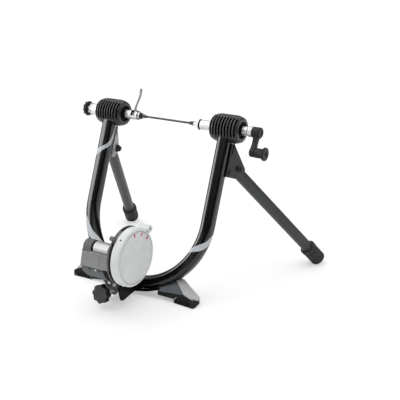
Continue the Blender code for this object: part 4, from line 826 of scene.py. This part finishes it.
def buildUnitBolts():
    half = [(0.0237, 0.004), (0.0237, 0.007), (0.0267, 0.007), (0.0277, 0.006), (0.0277, 0)]
    shape = turned(facing(-1, half[::-1]) + half, 48)
    finishPiece("unitPivotPin", shape, "darkZincAndShade", "unit_pivot_pin", tiltAxis)

    # a hexagon head with a shallow dish, its shank running the other way
    bolt = {"start": 0.0198, "length": 0.0045, "radius": 0.0062, "shank": 0.0025, "reach": 0.0073}
    start, end, radius, shank = bolt["start"], bolt["start"] + bolt["length"], bolt["radius"], bolt["shank"]
    profile = [(start - bolt["reach"], 0), (start - bolt["reach"], shank), (start, shank), (start, radius),
               (end - 0.0007, radius), (end, radius - 0.0009), (end, 0.55 * radius),
               (end - 0.0006, 0.5 * radius), (end - 0.0006, 0)]
    for name, back, height in (("upper", 0.058, 0.0095), ("lower", 0.0415, -0.0035)):
        shape = moved(roundEdges(turned(profile, 6), 0.0003), (0, -back, height))
        finishPiece(name + "Bolt", shape, "brightSteel", name + "_cross_bolt", tiltAxis)

    # rivet in the rear flange, under the cradle, and dark strips of painted shade for its slots
    shape = swung(roundEdges(rod(0, 0.0012, 0.0022, 32), 0.0005, 3), -90, "Z")
    addDetail("flangeRivet", moved(shape, (0.0019, -0.2598, 0.1032)), "zinc", "swing_bracket")
    for number, (left, right) in enumerate(((0.0085, 0.0205), (-0.0205, -0.0085))):
        shape = block((left, -0.2604, 0.103), (right, -0.2596, 0.1042))
        addDetail("flangeSlotShade" + str(number), shape, "recess", "swing_bracket")


def buildTension():
    print("tension screw")
    screw = {"length": 0.08768, "tip": 0.0065, "core": 0.0036, "crest": 0.004, "shank": 0.0028,
             "start": 0.0158, "pitch": 0.00125}
    length, core, crest = screw["length"], screw["core"], screw["crest"]
    shank, start, pitch = screw["shank"], screw["start"], screw["pitch"]
    foot = length - screw["tip"]
    profile = [(0.0062, 0), (0.0062, shank), (start, shank), (start, core)]
    while start + pitch < foot - 0.001:
        profile += [(start + pitch * 0.35, crest), (start + pitch * 0.65, crest), (start + pitch, core)]
        start += pitch
    profile += [(foot - 0.0003, core), (foot - 0.0003, shank), (length - 0.0025, shank), (length - 0.0025, 0)]
    finishPiece("tensionScrew", turned(profile, 32), "zinc", "tension_screw", tensionAxis)

    tip = {"radius": 0.0065, "dome": 0.0028, "bore": 0.0031}
    profile = [(length - 0.0022, 0), (length - 0.0022, tip["bore"]), (foot, tip["bore"]), (foot, 0.006),
               (foot + 0.0005, tip["radius"])]
    profile += [(length - tip["dome"] * (1 - sin(turn)), tip["radius"] * cos(turn))
                for turn in (radians(9 * step) for step in range(10))]
    finishPiece("tensionTip", turned(profile + [(length, 0)], 48), "zinc", "tension_tip", tensionAxis)

    knob = {"radius": 0.0228, "lobe": 0.003, "lobes": 8, "start": 0, "length": 0.0155, "round": 0.0022}
    shape = lobedKnob(knob)
    for along, width, depth in ((0, 0.003, -0.0007), (knob["length"], 0.004, 0)):
        face = min((face for face in shape.faces if len(face.verts) > 40),
                   key=lambda face: abs(face.calc_center_median().x - along))
        bmesh.ops.inset_region(shape, faces=[face], thickness=width, depth=depth)
    piece = finishPiece("tensionKnob", shape, "rubber", "tension_knob", tensionAxis)
    # painted light: the knob's outward faces are drawn lighter than its sides, as lit
    outward = tensionAxis.to_3x3() @ Vector((-1, 0, 0))
    paintFaces(piece, "knobLitFace", lambda face: face.normal.dot(outward) > 0.95)

    # the nut stands on the swinging bracket's tail; both distances are back from the rail
    nut = {"knobBack": 0.1371, "tailBack": 0.0886, "slope": radians(9.4), "length": 0.006}
    start = (nut["knobBack"] - nut["tailBack"]) / cos(nut["slope"]) + 0.0033
    shape = hexNut(start, start + nut["length"], 0.0043, 0.0075, 0.0009, 0.0009)
    finishPiece("tensionNut", roundEdges(shape, 0.0003), "zinc", "tension_nut", tensionAxis)


def buildCradle():
    print("roller cradle")
    node = "roller_cradle"
    piece = finishNode("rollerCradle", "warmMoulding", node, rollerAxis, 0.0008, 3, 30)
    paintFaces(piece, "archGreyAndPaintedLines", lambda face: face.center.z > rollerHeight - 0.0026)
    # dark strips of painted shade in the seams between the arches and the panel
    for name, low, high in (("Left", -0.0393, -0.0172), ("Right", 0.0337, 0.0423)):
        seam = block((low, -0.0202, -0.0033), (high, -0.017, -0.0026))
        addDetail("cradleSeamShade" + name, seam, "recess", node, rollerAxis)
    # two fine lines of painted shade down the panel, where its facets meet; its face leans by this much to a
    # metre
    line = {"slope": 0.2586, "top": -0.004, "foot": -0.0368, "half": 0.0003}
    corners = ((-0.0001, line["top"]), (0.0006, line["top"]), (0.0006, line["foot"]), (-0.0001, line["foot"]))
    outline = [(line["slope"] * (z + 0.003) - 0.0197 + y, z) for y, z in corners]
    for number, place in enumerate((-0.0224, 0.012)):
        shape = prism(outline, place - line["half"], place + line["half"])
        addDetail("cradleLine" + str(number), shape, "archGreyAndPaintedLines", node, rollerAxis)
    # painted shade: a thin near-black sheet under the cradle
    gasket = block((-0.0393, -0.0289, -0.0383), (0.0423, 0.0178, -0.0376))
    addDetail("cradleUnderShade", gasket, "recess", node, rollerAxis)
    # painted shade: a near-black ring in the gap between the roller's left end and its bearing
    seal = [(-0.0169, 0.0046), (-0.0169, 0.0158), (-0.013, 0.0158), (-0.0126, 0.015), (-0.0126, 0.0046)]
    addDetail("rollerGapShade", turned(seal, 64, True), "recess", node, rollerAxis)


def buildRoller():
    print("roller")
    bore = 0.0043       # of all that sits on the shaft
    for name, node, face, way in (("bearingLeft", "bearing_left", -0.017, -1),
                                  ("bearingRight", "bearing_right", 0.0335, 1)):
        near, far = face + way * 0.0004, face + way * 0.0072
        profile = [(near, bore), (near, 0.0064), (near + way * 0.0005, 0.0067), (near + way * 0.0005, 0.009),
                   (near, 0.0093), (near, 0.0107), (near + way * 0.0003, 0.011), (far, 0.011), (far, bore)]
        finishPiece(name, turned(profile, 56, True), "brightSteel", node, rollerAxis)
    profile = [(-0.012, bore), (-0.012, 0.0152), (-0.0117, 0.0159), (-0.011, 0.0165), (0.03, 0.0165),
               (0.0307, 0.0159), (0.031, 0.0152), (0.031, bore)]
    finishPiece("roller", turned(profile, 96, True), "rollerSteel", "roller", rollerAxis)
    shape = roundEdges(rod(-0.0246, 0.0779, 0.004, 40), 0.0004)
    finishPiece("rollerShaft", shape, "brightSteel", "roller_shaft", rollerAxis)
    shape = roundEdges(ring(0.0734, 0.0774, bore, 0.0605, 128), 0.0005)
    finishPiece("rotorDisc", shape, "brightSteel", "rotor_disc", rollerAxis)
    for name in ("left", "right"):
        finishNode("cradleBolt" + name.title(), "zinc", "cradle_bolt_" + name, rollerAxis, 0.0004, 2, 50)


def fromRoller(face):
    # how far a face is from the roller's axis
    return hypot(face.center.y - rollerForward, face.center.z - rollerHeight)


def aroundAxis(turn, radius):
    # a way out from the X axis, by degrees from level
    return 0, radius * cos(radians(turn)), radius * sin(radians(turn))


def buildBackHousing():
    print("back housing")
    node = "back_housing"
    profile = [(0.0428, 0.0085), (0.0428, 0.02), (0.0436, 0.021), (0.0488, 0.021), (0.05, 0.0216),
               (0.0585, 0.027), (0.065, 0.032), (0.068, 0.0362), (0.068, 0.0664), (0.0689, 0.0673),
               (0.0711, 0.0673), (0.072, 0.0664), (0.072, 0.0085)]
    piece = finishPiece("backHousing", turned(profile, 128, True), "darkMoulding", node, rollerAxis)
    # painted highlight: the plate's outer edge is drawn as a paler line
    paintFaces(piece, "archGreyAndPaintedLines", lambda face: fromRoller(face) > 0.0666)
    # parts of a band behind the cover: from and to in degrees, the start along the axis, the finish; the two
    # in the recess finish are painted shade in the gaps there
    rim = {"inner": 0.0633, "outer": 0.0667, "end": 0.0777,
           "parts": ((88, 106.5, 0.069, "recess"), (107, 137, 0.069, "archGreyAndPaintedLines"),
                     (196, 246, 0.054, "recess"), (300, 338, 0.069, "darkMoulding"))}
    for number, (start, end, low, finish) in enumerate(rim["parts"]):
        shape = roundEdges(sector(start, end, low, rim["end"], rim["inner"], rim["outer"]), 0.0006, 2, 50)
        addDetail("backRim" + str(number), shape, finish, node, rollerAxis)
    for number in range(6):     # ribs from the neck to the plate, sloped like the wall between them
        shape = block((0.05, -0.001, 0.02), (0.0682, 0.001, 0.056))
        for vert in shape.verts:
            if vert.co.x < 0.06 and vert.co.z > 0.03:
                vert.co.x = 0.067
        shape = roundEdges(swung(shape, 60 * number + 20, "X"), 0.0004)
        addDetail("backRib" + str(number), shape, "darkMoulding", node, rollerAxis)
    lug = roundEdges(rod(0.066, 0.0767, 0.0052, 40), 0.0008, 3)
    addDetail("backLug", moved(lug, aroundAxis(131, 0.072)), "archGreyAndPaintedLines", node, rollerAxis)


coverFace = 0.0985      # along the roller's axis


def buildDialCover():
    print("dial cover")
    cover = {"start": 0.078, "radius": 0.0665, "inner": 0.0635, "rounding": 0.0055,
             "groove": 0.059, "dip": 0.0012, "wall": 0.0955, "hubStart": 0.0851, "screwBore": 0.0038}
    start, face, radius, inner = cover["start"], coverFace, cover["radius"], cover["inner"]
    rounding, groove, dip, wall = (cover[part] for part in ("rounding", "groove", "dip", "wall"))
    hubStart, screwBore = cover["hubStart"], cover["screwBore"]
    profile = [(0.0915, 0), (0.0915, screwBore), (hubStart, screwBore), (hubStart, 0.009), (wall, 0.009),
               (wall, inner), (start, inner), (start, radius - 0.0005), (start + 0.0005, radius)]
    profile += arc(face - rounding, radius - rounding, rounding, 90, 0, 8)
    profile += [(face, groove + dip), (face - 0.7 * dip, groove + 0.5 * dip), (face - dip, groove),
                (face - 0.7 * dip, groove - 0.5 * dip), (face, groove - dip), (face, 0.02), (face, 0)]
    shape = turned(profile, 160)
    piece = finishPiece("dialCover", shape, "coverMoulding", "dial_cover", rollerAxis, angle=28)

    # painted shade: the faces in the ring groove on the cover's face are drawn darker
    def creased(face):
        return face.center.x > wall + 0.0015 and abs(fromRoller(face) - groove) < 0.62 * dip

    paintFaces(piece, "grooveShade", creased)


def buildCoverTab():
    tab = {"turn": 45, "reach": 0.0735, "start": 0.0725, "end": 0.0995, "corner": 0.0034, "middle": 0.0042,
           "hole": 0.0026, "holeStart": 0.092}
    outline = []
    for number, (y, z) in enumerate(((1, 1), (-1, 1), (-1, -1), (1, -1))):
        outline += arc(tab["middle"] * y, tab["middle"] * z, tab["corner"], 90 * number, 90 * number + 90, 6)
    shape = roundEdges(prism(outline, tab["start"], tab["end"]), 0.0009, 3, 60)
    shape = swung(carve(shape, rod(tab["holeStart"], tab["end"] + 0.0015, tab["hole"], 40)), tab["turn"], "X")
    shape = moved(shape, aroundAxis(tab["turn"], tab["reach"]))
    addDetail("coverTab", shape, "coverMoulding", "dial_cover", rollerAxis)
    # screw and small lugs on the cover's wall: degrees round it, place along it, radius, height, finish
    lugs = ((128, 0.088, 0.0022, 0.001, "recess"), (177, 0.0812, 0.003, 0.0006, "coverMoulding"),
            (234, 0.09, 0.0032, 0.0018, "coverMoulding"))
    for number, (turn, along, radius, high, finish) in enumerate(lugs):
        shape = swung(roundEdges(rod(-0.066 - high, -0.064, radius, 32), 0.0004), 90, "Y")
        shape = moved(swung(shape, turn - 90, "X"), (along, 0, 0))
        addDetail("coverLug" + str(number), shape, finish, "dial_cover", rollerAxis)


def buildDialMarks():
    mark = {"turns": (95, 66.4, 40.8), "half": 0.0023, "inner": 0.0492, "outer": 0.0575, "proud": 0.0001}
    low = (coverFace - 0.001, -mark["half"], mark["inner"])
    high = (coverFace + mark["proud"], mark["half"], mark["outer"])
    for number, turn in enumerate(mark["turns"]):
        shape = swung(roundEdges(block(low, high), 0.0001, 1), turn - 90, "X")
        addDetail("dialMark" + str(number), shape, "redInk", "dial_cover", rollerAxis)


def buildMagnets():
    finishNode("magnetPlate", "magnetSteel", "magnet_plate", rollerAxis, 0.0003, 2, 50)
    finishNode("dialScrew", "zinc", "dial_screw", rollerAxis, 0.0003, 2, 50)


# Floor, light and camera
room = {"skyLow": 0.04, "skyHigh": 1.5, "rampStart": 0.28, "rampEnd": 0.85, "floorHalf": 60,
        "floorColour": 0.955, "floorShare": 0.4, "keyFrom": (-0.35, -0.4, 1), "keyStrength": 0.75,
        "keySpread": 55, "sidePlace": (-4.1, -2.87, 1.55), "sideAim": (0, 0, 0.25), "sideWide": 3,
        "sideHigh": 1.7, "sidePower": 110}


def forCamera(tree, share, usual, seen, end):
    # gives the camera's own rays a share of another shader
    path = addNode(tree, "ShaderNodeLightPath")
    seenShare = calculate(tree, "MULTIPLY", path.outputs["Is Camera Ray"], share)
    both = addNode(tree, "ShaderNodeMixShader", {0: seenShare, 1: usual.outputs[0], 2: seen.outputs[0]})
    feed(tree, end, {"Surface": both.outputs[0]})


def buildFloor():
    print("floor")
    shape = bmesh.new()
    bmesh.ops.create_grid(shape, x_segments=2, y_segments=2, size=room["floorHalf"])
    floor = asObject("floor", moved(shape, (0, 0, -0.0003)))
    pale = bpy.data.materials.new("paleFloor")
    pale.use_nodes = True
    tree = pale.node_tree
    shader = tree.nodes["Principled BSDF"]
    grey = room["floorColour"]
    feed(tree, shader, {"Base Color": (grey, grey, grey, 1), "Roughness": 0.9, "Specular IOR Level": 0.0})
    lit = addNode(tree, "ShaderNodeEmission")
    forCamera(tree, room["floorShare"], shader, lit, tree.nodes["Material Output"])
    floor.data.materials.append(pale)


def buildSky():
    print("light")
    world = bpy.context.scene.world or bpy.data.worlds.new("studio")
    bpy.context.scene.world = world
    world.use_nodes = True
    tree = world.node_tree
    tree.nodes.clear()
    up = separate(tree, addNode(tree, "ShaderNodeTexCoord").outputs["Generated"])["Z"]
    glow = remap(tree, up, room["rampStart"], room["rampEnd"], room["skyLow"], room["skyHigh"])
    sky, white = (addNode(tree, "ShaderNodeBackground", {"Color": (1, 1, 1, 1), "Strength": strength})
                  for strength in (glow, 1.0))
    forCamera(tree, 1.0, sky, white, addNode(tree, "ShaderNodeOutputWorld"))


def addLamp(name, kind, energy, place, way):
    lamp = linked(bpy.data.objects.new(name, bpy.data.lights.new(name, kind)))
    lamp.data.energy = energy
    lamp.location = place
    lamp.rotation_mode = "QUATERNION"
    lamp.rotation_quaternion = Vector(way).to_track_quat("Z", "Y")
    return lamp


def buildLamps():
    key = addLamp("key", "SUN", room["keyStrength"], (0, 0, 0), room["keyFrom"])
    key.data.angle = radians(room["keySpread"])
    # soft box on the left, which draws the streaks on the tubes
    way = Vector(room["sidePlace"]) - Vector(room["sideAim"])
    side = addLamp("side", "AREA", room["sidePower"], room["sidePlace"], way)
    side.data.shape = "RECTANGLE"
    side.data.size, side.data.size_y = room["sideWide"], room["sideHigh"]
    side.visible_camera = side.visible_diffuse = False      # it shows in gloss only


def buildCamera():
    print("camera")
    view = {"azimuth": 31.9308, "elevation": 18.2592, "roll": 0.4109, "place": (1.048, -1.49606, 0.8001),
            "lens": 69.606, "sensor": 36}
    turn, rise, roll = (radians(view[name]) for name in ("azimuth", "elevation", "roll"))
    back = Vector((sin(turn) * cos(rise), -cos(turn) * cos(rise), sin(rise)))
    right = Vector((cos(turn), sin(turn), 0))
    up = back.cross(right)
    right, up = right * cos(roll) + up * sin(roll), up * cos(roll) - right * sin(roll)
    camera = linked(bpy.data.objects.new("camera", bpy.data.cameras.new("camera")))
    camera.data.lens = view["lens"]
    camera.data.sensor_width = view["sensor"]
    spin = Matrix((right, up, back)).transposed().to_4x4()
    camera.matrix_world = Matrix.Translation(view["place"]) @ spin
    bpy.context.scene.camera = camera
    bpy.context.scene.view_settings.view_transform = "Standard"


buildFrameTube()
for side, name in sides:
    buildHousing(side, name)
for side, name in sides:
    buildSleeve(side, name)
    buildCup(side, name)
buildLeftClamp()
buildSkewer()
buildLever()
buildCrank()
for side, name in sides:
    buildLegBracket(side, name)
    buildLeg(side, name)
    buildPivot(side, name)
for side, name in sides:
    buildFoot(name)
buildBrackets()
buildUnitBolts()
buildTension()
buildCradle()
buildRoller()
buildBackHousing()
buildDialCover()
buildCoverTab()
buildDialMarks()
buildMagnets()
buildFloor()
buildSky()
buildLamps()
buildCamera()
